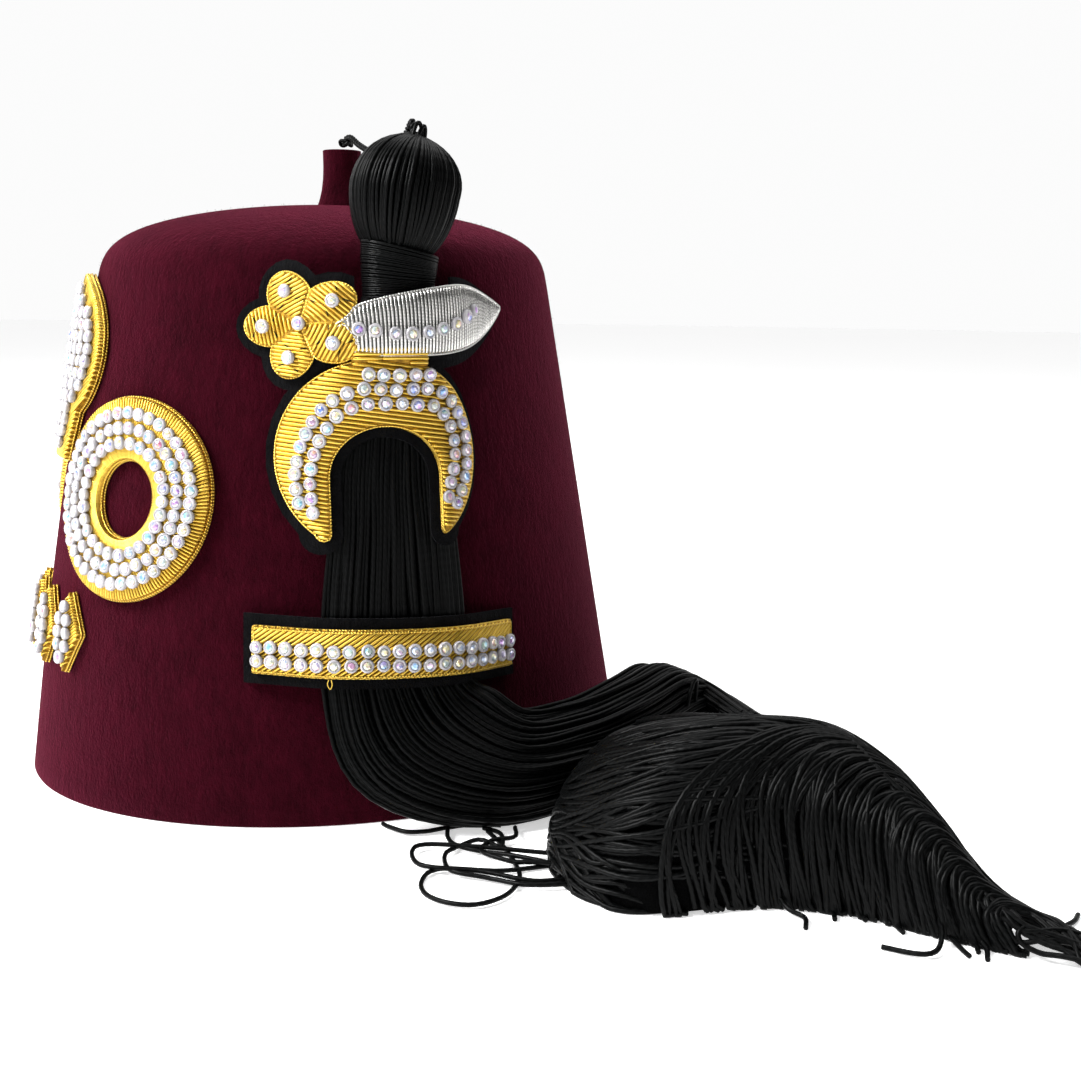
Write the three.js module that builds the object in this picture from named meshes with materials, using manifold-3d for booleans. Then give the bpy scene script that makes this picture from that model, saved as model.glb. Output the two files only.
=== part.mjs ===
// A blocked felt fez with a long strand tassel, a jewelled side badge and holder bar, and jewelled goldwork
// on its front. Millimetres, +Z up. The origin is the centre of the head opening, in the plane of the rim.
// The wearer's forehead faces -X, and the tassel hangs over the wearer's left side, which faces -Y.
import * as THREE from "three";
import { mergeVertices } from "three/addons/utils/BufferGeometryUtils.js";
import { TessellateModifier } from "three/addons/modifiers/TessellateModifier.js";
import Module from "manifold-3d";

const wasm = await Module();
wasm.setup();

// ---- driving dimensions -------------------------------------------------------------------------------

const FEZ = {
  halfLength: 100, // front to back at the rim, outside
  halfWidth: 84, // side to side at the rim, outside
  height: 182, // rim to the middle of the crown
  shoulder: 156, // where the straight wall starts to turn over into the crown
  edgePower: 3.5, // how tightly the wall turns over at the shoulder
  domePower: 1.7, // how flat the crown is towards its middle
  taper: 0.3 / 174, // share of the plan size that the wall loses for each mm of height
  frontBulge: 2.7, // how far the front of the wall swells out at mid height
  felt: 2.5, // thickness of the blocked felt
};
const GAP = 0.3; // clearance between pieces that are sewn onto each other
const PATCH = { felt: 1.4, gold: 2.3, stones: 3 }; // heights of the layers of a goldwork patch
const WALL_PATCH_GOLD = 2.9; // padding height of goldwork sewn straight onto the wall
// Longest triangle edge on a patch that lies against the wall, and on one that bows out over the tassel.
const MESH_EDGE = { flat: 12, bowed: 6 };

const SEGMENTS = { around: 64, wall: 5, crown: 9 };

// ---- the fez's outer surface --------------------------------------------------------------------------

const planScale = (z) => 1 - FEZ.taper * z;

// How much of the plan is left at height z, where the wall turns over into the crown.
function crownShare(z) {
  const rise = THREE.MathUtils.clamp((z - FEZ.shoulder) / (FEZ.height - FEZ.shoulder), 0, 1);
  return (1 - rise ** FEZ.edgePower) ** (1 / FEZ.domePower);
}

function wallBase(angle, z) {
  const scale = planScale(z) * crownShare(z);
  const forward = Math.max(0, -Math.cos(angle));
  const swell = FEZ.frontBulge * Math.sin((Math.PI * z) / FEZ.height) * forward * forward * crownShare(z);
  return new THREE.Vector3(
    (FEZ.halfLength * scale + swell) * Math.cos(angle),
    FEZ.halfWidth * scale * Math.sin(angle),
    z,
  );
}

// Unit tangents of the wall, along it and up its slope, and its outward normal.
function wallFrame(angle, z) {
  const step = 0.01;
  const along = wallBase(angle + step, z).sub(wallBase(angle - step, z)).normalize();
  const up = wallBase(angle, z + step).sub(wallBase(angle, z - step)).normalize();
  const out = new THREE.Vector3().crossVectors(along, up).normalize();
  return { along, up, out };
}

// Distance round the rim from the middle of the left side (-Y), tabulated for lookup both ways.
const RIM = (() => {
  const steps = 720;
  const angles = [-Math.PI / 2];
  const lengths = [0];
  for (let i = 1; i <= steps; i++) {
    const angle = -Math.PI / 2 + (2 * Math.PI * i) / steps;
    const before = angles[i - 1];
    const dx = FEZ.halfLength * (Math.cos(angle) - Math.cos(before));
    const dy = FEZ.halfWidth * (Math.sin(angle) - Math.sin(before));
    angles.push(angle);
    lengths.push(lengths[i - 1] + Math.hypot(dx, dy));
  }
  return { angles, lengths, total: lengths[steps] };
})();

// The plan angle of a point that lies `round` mm round the wall, at height z, from the middle of the left side.
function angleAt(round, z) {
  const target = (((round / planScale(z)) % RIM.total) + RIM.total) % RIM.total;
  let i = 1;
  while (RIM.lengths[i] < target) i++;
  const share = (target - RIM.lengths[i - 1]) / (RIM.lengths[i] - RIM.lengths[i - 1]);
  return RIM.angles[i - 1] + share * (RIM.angles[i] - RIM.angles[i - 1]);
}

// The distance round the wall from the middle of the left side to the middle of the front, at height z.
const frontRound = (z) => (-RIM.total / 4) * planScale(z);

// ---- solids and meshes --------------------------------------------------------------------------------

function solidOf(geometry) {
  const bare = new THREE.BufferGeometry();
  const source = geometry.index ? geometry.toNonIndexed() : geometry;
  bare.setAttribute("position", source.getAttribute("position").clone());
  const merged = mergeVertices(bare, 1e-3);
  return new wasm.Manifold(
    new wasm.Mesh({
      numProp: 3,
      vertProperties: merged.attributes.position.array,
      triVerts: new Uint32Array(merged.index.array),
    }),
  );
}

function geometryOf(solid) {
  const mesh = solid.getMesh();
  const geometry = new THREE.BufferGeometry();
  geometry.setAttribute("position", new THREE.BufferAttribute(new Float32Array(mesh.vertProperties), 3));
  geometry.setIndex(new THREE.BufferAttribute(new Uint32Array(mesh.triVerts), 1));
  return geometry;
}

const joined = (geometries) => geometries.map(solidOf).reduce((a, b) => a.add(b));

// A flat plate of a shape, from height `from` to height `from + thick` above the pattern's plane.
function plate(shape, from, thick, curveSegments = 10) {
  const geometry = new THREE.ExtrudeGeometry(shape, { depth: thick, bevelEnabled: false, curveSegments });
  geometry.translate(0, 0, from);
  return geometry;
}

// Bends a flat pattern round the wall: x runs round the wall, y is height and z is outwards. spot has round
// and z, the place of the pattern's origin, tilt in degrees, and lift(round, z), its stand-off. The pattern's
// upright middle line follows the taper of the wall.
function bentRound(geometry, spot) {
  const longest = spot.lift ? MESH_EDGE.bowed : MESH_EDGE.flat;
  const fine = new TessellateModifier(longest, 12).modify(geometry);
  const position = fine.getAttribute("position");
  const point = new THREE.Vector3();
  const turn = THREE.MathUtils.degToRad(spot.tilt ?? 0);
  for (let i = 0; i < position.count; i++) {
    point.fromBufferAttribute(position, i);
    const x = point.x * Math.cos(turn) - point.y * Math.sin(turn);
    const y = point.x * Math.sin(turn) + point.y * Math.cos(turn);
    const z = spot.z + y;
    const round = (spot.round * planScale(z)) / planScale(spot.z) + x;
    const angle = angleAt(round, z);
    const height = GAP + (spot.lift?.(round, z) ?? 0) + point.z;
    const placed = wallBase(angle, z).addScaledVector(wallFrame(angle, z).out, height);
    position.setXYZ(i, placed.x, placed.y, placed.z);
  }
  return geometryOf(solidOf(fine));
}

function ellipseShape(x, y, halfWidth, halfHeight, turn = 0) {
  const shape = new THREE.Shape();
  shape.absellipse(x, y, halfWidth, halfHeight, 0, 2 * Math.PI, false, turn);
  return shape;
}

function ellipseRing(outer, inner) {
  const shape = ellipseShape(0, 0, outer[0], outer[1]);
  shape.holes.push(new THREE.Path().absellipse(0, 0, inner[0], inner[1], 0, 2 * Math.PI, true));
  return shape;
}

function rectangleShape(left, bottom, right, top) {
  return new THREE.Shape([
    new THREE.Vector2(left, bottom),
    new THREE.Vector2(right, bottom),
    new THREE.Vector2(right, top),
    new THREE.Vector2(left, top),
  ]);
}

// A surface through rings of equal numbers of points, closed at both ends.
function loftThrough(rings) {
  const count = rings[0].length;
  const points = rings.flat();
  const faces = [];
  for (let r = 0; r + 1 < rings.length; r++) {
    for (let i = 0; i < count; i++) {
      const a = r * count + i;
      const b = r * count + ((i + 1) % count);
      faces.push(a, b, b + count, a, b + count, a + count);
    }
  }
  const centreOf = (ring) => ring.reduce((sum, p) => sum.add(p), new THREE.Vector3()).divideScalar(count);
  const first = points.push(centreOf(rings[0])) - 1;
  const last = points.push(centreOf(rings[rings.length - 1])) - 1;
  const lastRing = (rings.length - 1) * count;
  for (let i = 0; i < count; i++) {
    const next = (i + 1) % count;
    faces.push(first, next, i, last, lastRing + i, lastRing + next);
  }
  const geometry = new THREE.BufferGeometry().setFromPoints(points);
  geometry.setIndex(faces);
  return geometry;
}

const FINISH = {
  felt: { color: 0x4a0f22, roughness: 0.95, metalness: 0 },
  blackFelt: { color: 0x0c0c0d, roughness: 0.95, metalness: 0 },
  silk: { color: 0x0b0b0d, roughness: 0.6, metalness: 0 },
  gold: { color: 0xd9a514, roughness: 0.35, metalness: 1 },
  silver: { color: 0xd5d2cc, roughness: 0.35, metalness: 1 },
  stones: { color: 0xf0eeec, roughness: 0.2, metalness: 0 },
};

function piece(name, geometry, finish) {
  geometry.computeVertexNormals();
  const made = new THREE.Mesh(geometry, new THREE.MeshStandardMaterial(FINISH[finish]));
  made.name = name;
  return made;
}

// ---- the felt body ------------------------------------------------------------------------------------

// Rings of the outer surface from the rim up to near the crown's middle, or the same `inward` mm inside it.
function bodyRings(inward) {
  const heights = [];
  for (let i = 0; i <= SEGMENTS.wall; i++) heights.push((FEZ.shoulder * i) / SEGMENTS.wall);
  for (let i = 1; i <= SEGMENTS.crown; i++) {
    const turn = (Math.PI / 2) * (i / (SEGMENTS.crown + 0.6));
    const rise = Math.sin(turn) ** (2 / FEZ.edgePower);
    heights.push(FEZ.shoulder + (FEZ.height - FEZ.shoulder) * rise);
  }
  const around = [...Array(SEGMENTS.around).keys()].map((i) => (2 * Math.PI * i) / SEGMENTS.around);
  return heights.map((z) =>
    around.map((angle) => {
      const point = wallBase(angle, z).addScaledVector(wallFrame(angle, z).out, -inward);
      if (z === 0) point.z = 0;
      return point;
    }),
  );
}

function fezBody() {
  const outer = loftThrough(bodyRings(0));
  const innerRings = bodyRings(FEZ.felt);
  const below = innerRings[0].map((p) => p.clone().setZ(-5));
  const inner = loftThrough([below, ...innerRings]);
  return geometryOf(solidOf(outer).subtract(solidOf(inner)));
}

// ---- the stem, the tassel's head, its binding and the cord -----------------------------------------------

const STEM = { x: 4, baseRadius: 9.2, waistRadius: 6.4, topRadius: 6.8, height: 17.5 };

function stem() {
  const profile = [
    [0, 0],
    [STEM.baseRadius, 0],
    [(STEM.baseRadius + STEM.waistRadius) / 2, STEM.height * 0.2],
    [STEM.waistRadius, STEM.height * 0.6],
    [STEM.topRadius, STEM.height - 0.6],
    [STEM.topRadius - 0.6, STEM.height],
    [0, STEM.height - 1],
  ].map(([r, z]) => new THREE.Vector2(r, z));
  const geometry = new THREE.LatheGeometry(profile, 24);
  geometry.rotateX(Math.PI / 2);
  geometry.translate(STEM.x, 0, FEZ.height + GAP);
  return geometry;
}

const HEAD = {
  centre: new THREE.Vector3(7.6, -68, 184), // of its widest section
  radius: 16,
  rise: 14.4, // from the widest section to the top
  drop: 22.7, // half height of the oval that its lower part follows
  neckDrop: 16.6, // from the widest section down to the neck
  depthShare: 0.92, // its depth, front to back, as a share of its width
  lean: 8, // degrees towards the back of the fez
};
HEAD.neckRadius = HEAD.radius * Math.sqrt(1 - (HEAD.neckDrop / HEAD.drop) ** 2);

// The bulb of folded strands: rounded at the top and drawn in to the neck below.
function tasselHead() {
  const steps = 7;
  const lower = [...Array(steps).keys()].map((i) => {
    const fall = HEAD.neckDrop * (1 - i / steps);
    return new THREE.Vector2(HEAD.radius * Math.sqrt(1 - (fall / HEAD.drop) ** 2), -fall);
  });
  const upper = [...Array(steps + 1).keys()].map((i) => {
    const turn = (Math.PI / 2) * (i / steps);
    return new THREE.Vector2(i === steps ? 0 : HEAD.radius * Math.cos(turn), HEAD.rise * Math.sin(turn));
  });
  const profile = [new THREE.Vector2(0, -HEAD.neckDrop), ...lower, ...upper];
  const geometry = new THREE.LatheGeometry(profile, 28);
  geometry.rotateX(Math.PI / 2);
  geometry.scale(1, HEAD.depthShare, 1);
  geometry.rotateY(THREE.MathUtils.degToRad(HEAD.lean));
  geometry.translate(HEAD.centre.x, HEAD.centre.y, HEAD.centre.z);
  return geometry;
}

// Flattened oval ring of points: side and out are unit vectors, and floor keeps it off the ground.
function ovalRing(centre, side, out, halfWidth, halfDepth, count = 20) {
  return [...Array(count).keys()].map((i) => {
    const turn = (2 * Math.PI * i) / count;
    const point = centre
      .clone()
      .addScaledVector(side, halfWidth * Math.cos(turn))
      .addScaledVector(out, halfDepth * Math.sin(turn));
    point.z = Math.max(point.z, GAP);
    return point;
  });
}

// Oval rings that lie against the wall, or stand `off` mm from it, from a table of rows.
function wallRings(rows) {
  return rows.map((row) => {
    const angle = angleAt(row.round, row.z);
    const { along, up, out } = wallFrame(angle, row.z);
    const turn = THREE.MathUtils.degToRad(row.turn ?? 0);
    const side = along.clone().multiplyScalar(Math.cos(turn)).addScaledVector(up, Math.sin(turn));
    const away = row.off ?? GAP + row.depth / 2;
    const centre = wallBase(angle, row.z).addScaledVector(out, away);
    return ovalRing(centre, side, out, row.halfWidth, row.depth / 2);
  });
}

// Level oval rings below the head's neck: their centre, half width and half depth.
const BINDING_ROWS = [
  { x: 5, y: -69.9, z: 162, halfWidth: 11, halfDepth: 9.2 },
  { x: 4.7, y: -70.3, z: 156, halfWidth: 10.5, halfDepth: 8.6 },
  { x: 4.4, y: -70.2, z: 151.2, halfWidth: 9.9, halfDepth: 7.6 },
];

function tasselBinding() {
  const lean = THREE.MathUtils.degToRad(HEAD.lean);
  const axis = new THREE.Vector3(Math.sin(lean), 0, Math.cos(lean));
  const top = HEAD.centre.clone().addScaledVector(axis, -HEAD.neckDrop - GAP);
  const leaning = new THREE.Vector3(Math.cos(lean), 0, -Math.sin(lean));
  const level = new THREE.Vector3(1, 0, 0);
  const out = new THREE.Vector3(0, -1, 0);
  const neck = ovalRing(top, leaning, out, HEAD.neckRadius, HEAD.neckRadius * HEAD.depthShare);
  const below = BINDING_ROWS.map((row) =>
    ovalRing(new THREE.Vector3(row.x, row.y, row.z), level, out, row.halfWidth, row.halfDepth),
  );
  return loftThrough([neck, ...below]);
}

const CORD = {
  radius: 1,
  route: [
    [4.6, -1.2, 201.4],
    [5, -3.6, 203],
    [5.6, -8, 203],
    [6.6, -16, 200],
    [8, -28, 197],
    [9.4, -40, 197],
    [10.2, -50, 197],
    [10.6, -57, 199.6],
    [10.7, -62, 202.2],
    [10.4, -65.8, 202.4],
    [10, -68, 199.4],
  ],
};

function cord() {
  const section = new THREE.Shape();
  const sides = 8;
  for (let i = 0; i < sides; i++) {
    const turn = (2 * Math.PI * i) / sides;
    const x = CORD.radius * Math.cos(turn);
    const y = CORD.radius * Math.sin(turn);
    if (i === 0) section.moveTo(x, y);
    else section.lineTo(x, y);
  }
  const path = new THREE.CatmullRomCurve3(CORD.route.map((p) => new THREE.Vector3(...p)));
  return new THREE.ExtrudeGeometry(section, { steps: 24, extrudePath: path, bevelEnabled: false });
}

// ---- the tassel's skirt ---------------------------------------------------------------------------------

// Hangs under the badge and the holder bar, then sweeps along the foot of the wall towards the back.
const SKIRT_ROWS = [
  { round: 4, z: 148.4, halfWidth: 10.2, depth: 14 },
  { round: 4, z: 144, halfWidth: 12, depth: 12.2 },
  { round: 3, z: 135, halfWidth: 13.5, depth: 10.6 },
  { round: 2, z: 118, halfWidth: 15.5, depth: 9.6 },
  { round: 1, z: 100, halfWidth: 17, depth: 9.4 },
  { round: 1, z: 84, halfWidth: 18, depth: 9.2 },
  { round: 0.5, z: 62, halfWidth: 20.2, depth: 8 },
  { round: 0, z: 40, halfWidth: 21, depth: 8 },
  { round: 8, z: 24, halfWidth: 24, depth: 14, turn: 30 },
  { round: 27, z: 14, halfWidth: 17, depth: 22, turn: 60, off: 14 },
  { round: 47, z: 13.5, halfWidth: 13.5, depth: 27, turn: 85, off: 17 },
  { round: 66, z: 15, halfWidth: 15, depth: 30, turn: 90, off: 22 },
  { round: 84, z: 15.5, halfWidth: 15, depth: 32, turn: 90, off: 25 },
  { round: 94, z: 14, halfWidth: 12.5, depth: 27, turn: 90, off: 25 },
  { round: 100, z: 12, halfWidth: 7, depth: 16, turn: 90, off: 25 },
];

// The heap in which the strands double back and run forwards over the ground: where the middle of its foot
// is, half its width, its height and the heading, in degrees from +X, in which it runs there.
const HEAP_ROWS = [
  { x: 76, y: -84, halfWidth: 22, height: 24, heading: -68 },
  { x: 72, y: -103, halfWidth: 37, height: 31, heading: -70 },
  { x: 69, y: -128, halfWidth: 42, height: 38, heading: -72 },
  { x: 76, y: -152, halfWidth: 40, height: 44, heading: -68 },
  { x: 92, y: -162, halfWidth: 30, height: 43, heading: -62 },
  { x: 104, y: -175, halfWidth: 22, height: 36, heading: -58 },
  { x: 111, y: -191, halfWidth: 15, height: 25, heading: -58 },
  { x: 118, y: -204, halfWidth: 9, height: 13, heading: -58 },
  { x: 128, y: -218, halfWidth: 6.5, height: 7, heading: -56 },
  { x: 137, y: -231, halfWidth: 6, height: 3, heading: -54 },
];

function heapRings(rows) {
  const up = new THREE.Vector3(0, 0, 1);
  return rows.map(({ x, y, halfWidth, height, heading }) => {
    const turn = THREE.MathUtils.degToRad(heading);
    const side = new THREE.Vector3(-Math.sin(turn), Math.cos(turn), 0);
    const centre = new THREE.Vector3(x, y, height * 0.44);
    return ovalRing(centre, side, up, halfWidth, height * 0.56, 24);
  });
}

function tasselSkirt() {
  const hanging = solidOf(loftThrough(wallRings(SKIRT_ROWS)));
  const lying = solidOf(loftThrough(heapRings(HEAP_ROWS)));
  return geometryOf(hanging.add(lying));
}

// ---- the side badge, sewn over the tassel's neck ----------------------------------------------------------

// The badge and the bar bow out over the skirt and come back to the wall on both sides of it.
const bow = (rise, reach, power) => (round) => rise * Math.exp(-(Math.abs(round / reach) ** power));

function badgeLift(round, z) {
  const rise = 10.2 + 6.8 * THREE.MathUtils.smoothstep(z, 112, 150);
  return bow(rise, 25, 3)(round);
}

const BADGE = { round: 0, z: 106, lift: badgeLift };
const ARCH = {
  outer: { x: -2.7, y: 0, radius: 27.1 },
  inner: { x: -1.6, y: -5.6, radius: 15 },
  foot: -21, // height of the feet's round ends
  neck: [-9.6, 8.6, 20, 30.6], // left, right, bottom and top of the collar on the arch's crown
};
const PATCH_MARGIN = 3.4; // how far the black felt stands out beyond the goldwork

// A horseshoe arch with parallel inner sides and round feet. grow widens it all round.
function archShape(grow) {
  const outer = ARCH.outer.radius + grow;
  const inner = ARCH.inner.radius - grow;
  const reach = Math.sqrt(outer * outer - ARCH.foot * ARCH.foot);
  const start = Math.atan2(ARCH.foot, reach);
  const shape = new THREE.Shape();
  const foot = (from, to) =>
    shape.absarc((from + to) / 2, ARCH.foot, (to - from) / 2, Math.PI, 2 * Math.PI, false);
  shape.absarc(ARCH.outer.x, ARCH.outer.y, outer, start, Math.PI - start, false);
  foot(ARCH.outer.x - reach, ARCH.inner.x - inner);
  shape.absarc(ARCH.inner.x, ARCH.inner.y, inner, Math.PI, 0, true);
  foot(ARCH.inner.x + inner, ARCH.outer.x + reach);
  return shape;
}

function archNeck(grow) {
  const [left, right, bottom, top] = ARCH.neck;
  return rectangleShape(left - grow, bottom, right + grow, top);
}

const LEAF = { base: [-14.5, 35.2], tip: [37.6, 43.2], halfWidth: 8 };

// A leaf with a broad round base and a pointed tip, which bows downwards.
function leafShape(grow) {
  const base = new THREE.Vector2(...LEAF.base);
  const tip = new THREE.Vector2(...LEAF.tip);
  const along = tip.clone().sub(base).normalize();
  const across = new THREE.Vector2(-along.y, along.x);
  const length = tip.distanceTo(base) + 2.3 * grow;
  const half = LEAF.halfWidth + grow;
  base.addScaledVector(along, -grow);
  const at = (share, side) =>
    base
      .clone()
      .addScaledVector(along, length * share)
      .addScaledVector(across, side * half);
  const shape = new THREE.Shape();
  const curve = (a, b, c) => shape.bezierCurveTo(a.x, a.y, b.x, b.y, c.x, c.y);
  const lowest = at(0.46, -1.25);
  const highest = at(0.57, 0.95);
  shape.moveTo(base.x, base.y);
  curve(at(-0.03, -0.8), at(0.18, -1.1), lowest);
  curve(at(0.68, -1.37), at(0.9, -0.75), at(1, 0));
  curve(at(0.9, 0.55), at(0.74, 0.98), highest);
  curve(at(0.36, 0.9), at(-0.03, 0.75), base);
  return shape;
}

const FLOWER = { x: -21.5, y: 37.5, petals: 5, reach: 7.8, halfLength: 7.2, halfWidth: 5.4, turn: 180 };

// The five round-ended petals, as one shape each, that are joined into the flower.
function petalShapes(grow) {
  return [...Array(FLOWER.petals).keys()].map((i) => {
    const turn = THREE.MathUtils.degToRad(FLOWER.turn) + (2 * Math.PI * i) / FLOWER.petals;
    const x = FLOWER.x + FLOWER.reach * Math.cos(turn);
    const y = FLOWER.y + FLOWER.reach * Math.sin(turn);
    return ellipseShape(x, y, FLOWER.halfLength + grow, FLOWER.halfWidth + grow, turn);
  });
}

const NECK_NOTCH = [-8.4, 42.6, 16.6, 62]; // where the black felt is cut away for the tassel's neck

function badgeFelt() {
  const grown = [archShape(PATCH_MARGIN), archNeck(PATCH_MARGIN), leafShape(PATCH_MARGIN)];
  const shapes = [...grown, ...petalShapes(PATCH_MARGIN)];
  const whole = joined(shapes.map((shape) => plate(shape, 0, PATCH.felt)));
  const notch = solidOf(plate(rectangleShape(...NECK_NOTCH), -1, PATCH.felt + 2));
  return bentRound(geometryOf(whole.subtract(notch)), BADGE);
}

const GOLD_FROM = PATCH.felt + GAP;
const STONES_FROM = GOLD_FROM + PATCH.gold + GAP;

function badgeArch() {
  const leafRoom = solidOf(plate(leafShape(0.35), GOLD_FROM - 1, PATCH.gold + 2));
  const flowerRoom = joined(petalShapes(0.35).map((s) => plate(s, GOLD_FROM - 1, PATCH.gold + 2)));
  const arch = joined([archShape(0), archNeck(0)].map((s) => plate(s, GOLD_FROM, PATCH.gold)));
  return bentRound(geometryOf(arch.subtract(leafRoom).subtract(flowerRoom)), BADGE);
}

function badgeFlower() {
  const flower = joined(petalShapes(0).map((s) => plate(s, GOLD_FROM, PATCH.gold)));
  return bentRound(geometryOf(flower), BADGE);
}

function badgeLeaf() {
  const flowerRoom = joined(petalShapes(0.35).map((s) => plate(s, GOLD_FROM - 1, PATCH.gold + 2)));
  const leaf = solidOf(plate(leafShape(0), GOLD_FROM, PATCH.gold));
  return bentRound(geometryOf(leaf.subtract(flowerRoom)), BADGE);
}

// The paved rows of stones on the arch: a band that follows its outer curve.
const ARCH_STONES = { x: -2, y: -2.4, outer: 24.8, inner: 16.4, foot: -11.5 };

function archStones() {
  const shape = new THREE.Shape();
  const end = Math.asin(ARCH_STONES.foot / ARCH_STONES.outer);
  const innerEnd = Math.asin(ARCH_STONES.foot / ARCH_STONES.inner);
  shape.absarc(ARCH_STONES.x, ARCH_STONES.y, ARCH_STONES.outer, end, Math.PI - end, false);
  shape.absarc(ARCH_STONES.x, ARCH_STONES.y, ARCH_STONES.inner, Math.PI - innerEnd, innerEnd, true);
  return bentRound(plate(shape, STONES_FROM, PATCH.stones), BADGE);
}

const LEAF_STONES = { from: [-8.4, 35], to: [21.6, 39.6], halfWidth: 1.9 };

function leafStones() {
  const [x0, y0] = LEAF_STONES.from;
  const [x1, y1] = LEAF_STONES.to;
  const turn = Math.atan2(y1 - y0, x1 - x0);
  const half = LEAF_STONES.halfWidth;
  const shape = new THREE.Shape();
  shape.absarc(x1, y1, half, turn - Math.PI / 2, turn + Math.PI / 2, false);
  shape.absarc(x0, y0, half, turn + Math.PI / 2, turn + (3 * Math.PI) / 2, false);
  return bentRound(plate(shape, STONES_FROM, PATCH.stones - 0.6), BADGE);
}

const LONE_STONE_RADIUS = 2.1;

// One stone near the end of each petal, and one in the flower's middle.
function flowerStones() {
  const stones = [...Array(FLOWER.petals).keys()].map((i) => {
    const turn = THREE.MathUtils.degToRad(FLOWER.turn) + (2 * Math.PI * i) / FLOWER.petals;
    const reach = FLOWER.reach + 1.8;
    return [FLOWER.x + reach * Math.cos(turn), FLOWER.y + reach * Math.sin(turn)];
  });
  stones.push([FLOWER.x, FLOWER.y]);
  return stones.map(([x, y], i) => {
    const flat = plate(ellipseShape(x, y, LONE_STONE_RADIUS, LONE_STONE_RADIUS), STONES_FROM, PATCH.stones, 5);
    return piece(`flower_stone_${i + 1}`, bentRound(flat, BADGE), "stones");
  });
}

// ---- the holder bar -----------------------------------------------------------------------------------------

const BAR = { round: -0.8, z: 50.6, tilt: -2.6, lift: (round) => bow(10.2, 29, 3.6)(round) };
const BAR_SIZE = { halfLength: 38, halfHeight: 6.6, feltHalfLength: 41.2, feltHalfHeight: 10 };
const BAR_STONES = { halfLength: 37, bottom: -5.2, top: 3.1 };

function barPlate(halfLength, bottom, top, from, thick) {
  return bentRound(plate(rectangleShape(-halfLength, bottom, halfLength, top), from, thick), BAR);
}

function barPieces() {
  const { halfLength, halfHeight, feltHalfLength, feltHalfHeight } = BAR_SIZE;
  const felt = barPlate(feltHalfLength, -feltHalfHeight, feltHalfHeight, 0, PATCH.felt);
  const gold = barPlate(halfLength, -halfHeight, halfHeight, GOLD_FROM, PATCH.gold);
  const stones = barPlate(
    BAR_STONES.halfLength, BAR_STONES.bottom, BAR_STONES.top, STONES_FROM, PATCH.stones,
  );
  return [
    piece("bar_felt", felt, "blackFelt"),
    piece("bar_gold", gold, "gold"),
    piece("bar_stones", stones, "stones"),
  ];
}

// ---- goldwork sewn straight onto the front of the wall ---------------------------------------------------

const WALL_STONES_FROM = WALL_PATCH_GOLD + GAP;
const RING = { fromFront: 45, z: 93, outer: [27, 29.5], inner: [10, 11.8], stones: [[24, 26.5], [11.8, 13.6]] };

// Two oval rings, one on each side of the front.
function wallRingPieces() {
  const sides = { left: 1, right: -1 };
  return Object.entries(sides).flatMap(([side, sign]) => {
    const spot = { round: frontRound(RING.z) + sign * RING.fromFront, z: RING.z };
    const gold = bentRound(plate(ellipseRing(RING.outer, RING.inner), 0, WALL_PATCH_GOLD, 20), spot);
    const band = plate(ellipseRing(...RING.stones), WALL_STONES_FROM, PATCH.stones, 20);
    return [
      piece(`ring_${side}_gold`, gold, "gold"),
      piece(`ring_${side}_stones`, bentRound(band, spot), "stones"),
    ];
  });
}

const FAN = { z: 131, halfWidth: 26, top: 27, waist: -14, foot: -29, footHalfWidth: 13 };

// A fan that opens upwards from a narrow foot: round above, hollowed at the waist.
function fanShape(grow) {
  const { halfWidth, top, waist, foot, footHalfWidth } = FAN;
  const shape = new THREE.Shape();
  shape.moveTo(-footHalfWidth - grow, foot - grow);
  shape.lineTo(footHalfWidth + grow, foot - grow);
  shape.lineTo(footHalfWidth + 3 + grow, waist);
  shape.bezierCurveTo(halfWidth + 3 + grow, waist + 8, halfWidth + 2 + grow, top - 4, 0, top + grow);
  shape.bezierCurveTo(-halfWidth - 2 - grow, top - 4, -halfWidth - 3 - grow, waist + 8, -footHalfWidth - 3 - grow, waist);
  return shape;
}

function fanPieces() {
  const spot = { round: frontRound(FAN.z), z: FAN.z };
  const gold = bentRound(plate(fanShape(0), 0, WALL_PATCH_GOLD, 12), spot);
  const band = bentRound(plate(fanShape(-3.2), WALL_STONES_FROM, PATCH.stones, 12), spot);
  return [piece("fan_gold", gold, "gold"), piece("fan_stones", band, "stones")];
}

const PIP = { count: 5, pitch: 14.6, z: 51, halfWidth: 6.4, halfHeight: 12 };

function lozengeShape(halfWidth, halfHeight) {
  return new THREE.Shape([
    new THREE.Vector2(0, -halfHeight),
    new THREE.Vector2(halfWidth, 0),
    new THREE.Vector2(0, halfHeight),
    new THREE.Vector2(-halfWidth, 0),
  ]);
}

// A row of small upright lozenges centred under the fan.
function pipPieces() {
  return [...Array(PIP.count).keys()].flatMap((i) => {
    const spot = { round: frontRound(PIP.z) + (i - (PIP.count - 1) / 2) * PIP.pitch, z: PIP.z };
    const gold = bentRound(plate(lozengeShape(PIP.halfWidth, PIP.halfHeight), 0, WALL_PATCH_GOLD), spot);
    const flat = plate(lozengeShape(PIP.halfWidth - 1.4, PIP.halfHeight - 2.6), WALL_STONES_FROM, PATCH.stones);
    return [
      piece(`pip_${i + 1}_gold`, gold, "gold"),
      piece(`pip_${i + 1}_stones`, bentRound(flat, spot), "stones"),
    ];
  });
}

// ---- the whole fez ------------------------------------------------------------------------------------------

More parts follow.
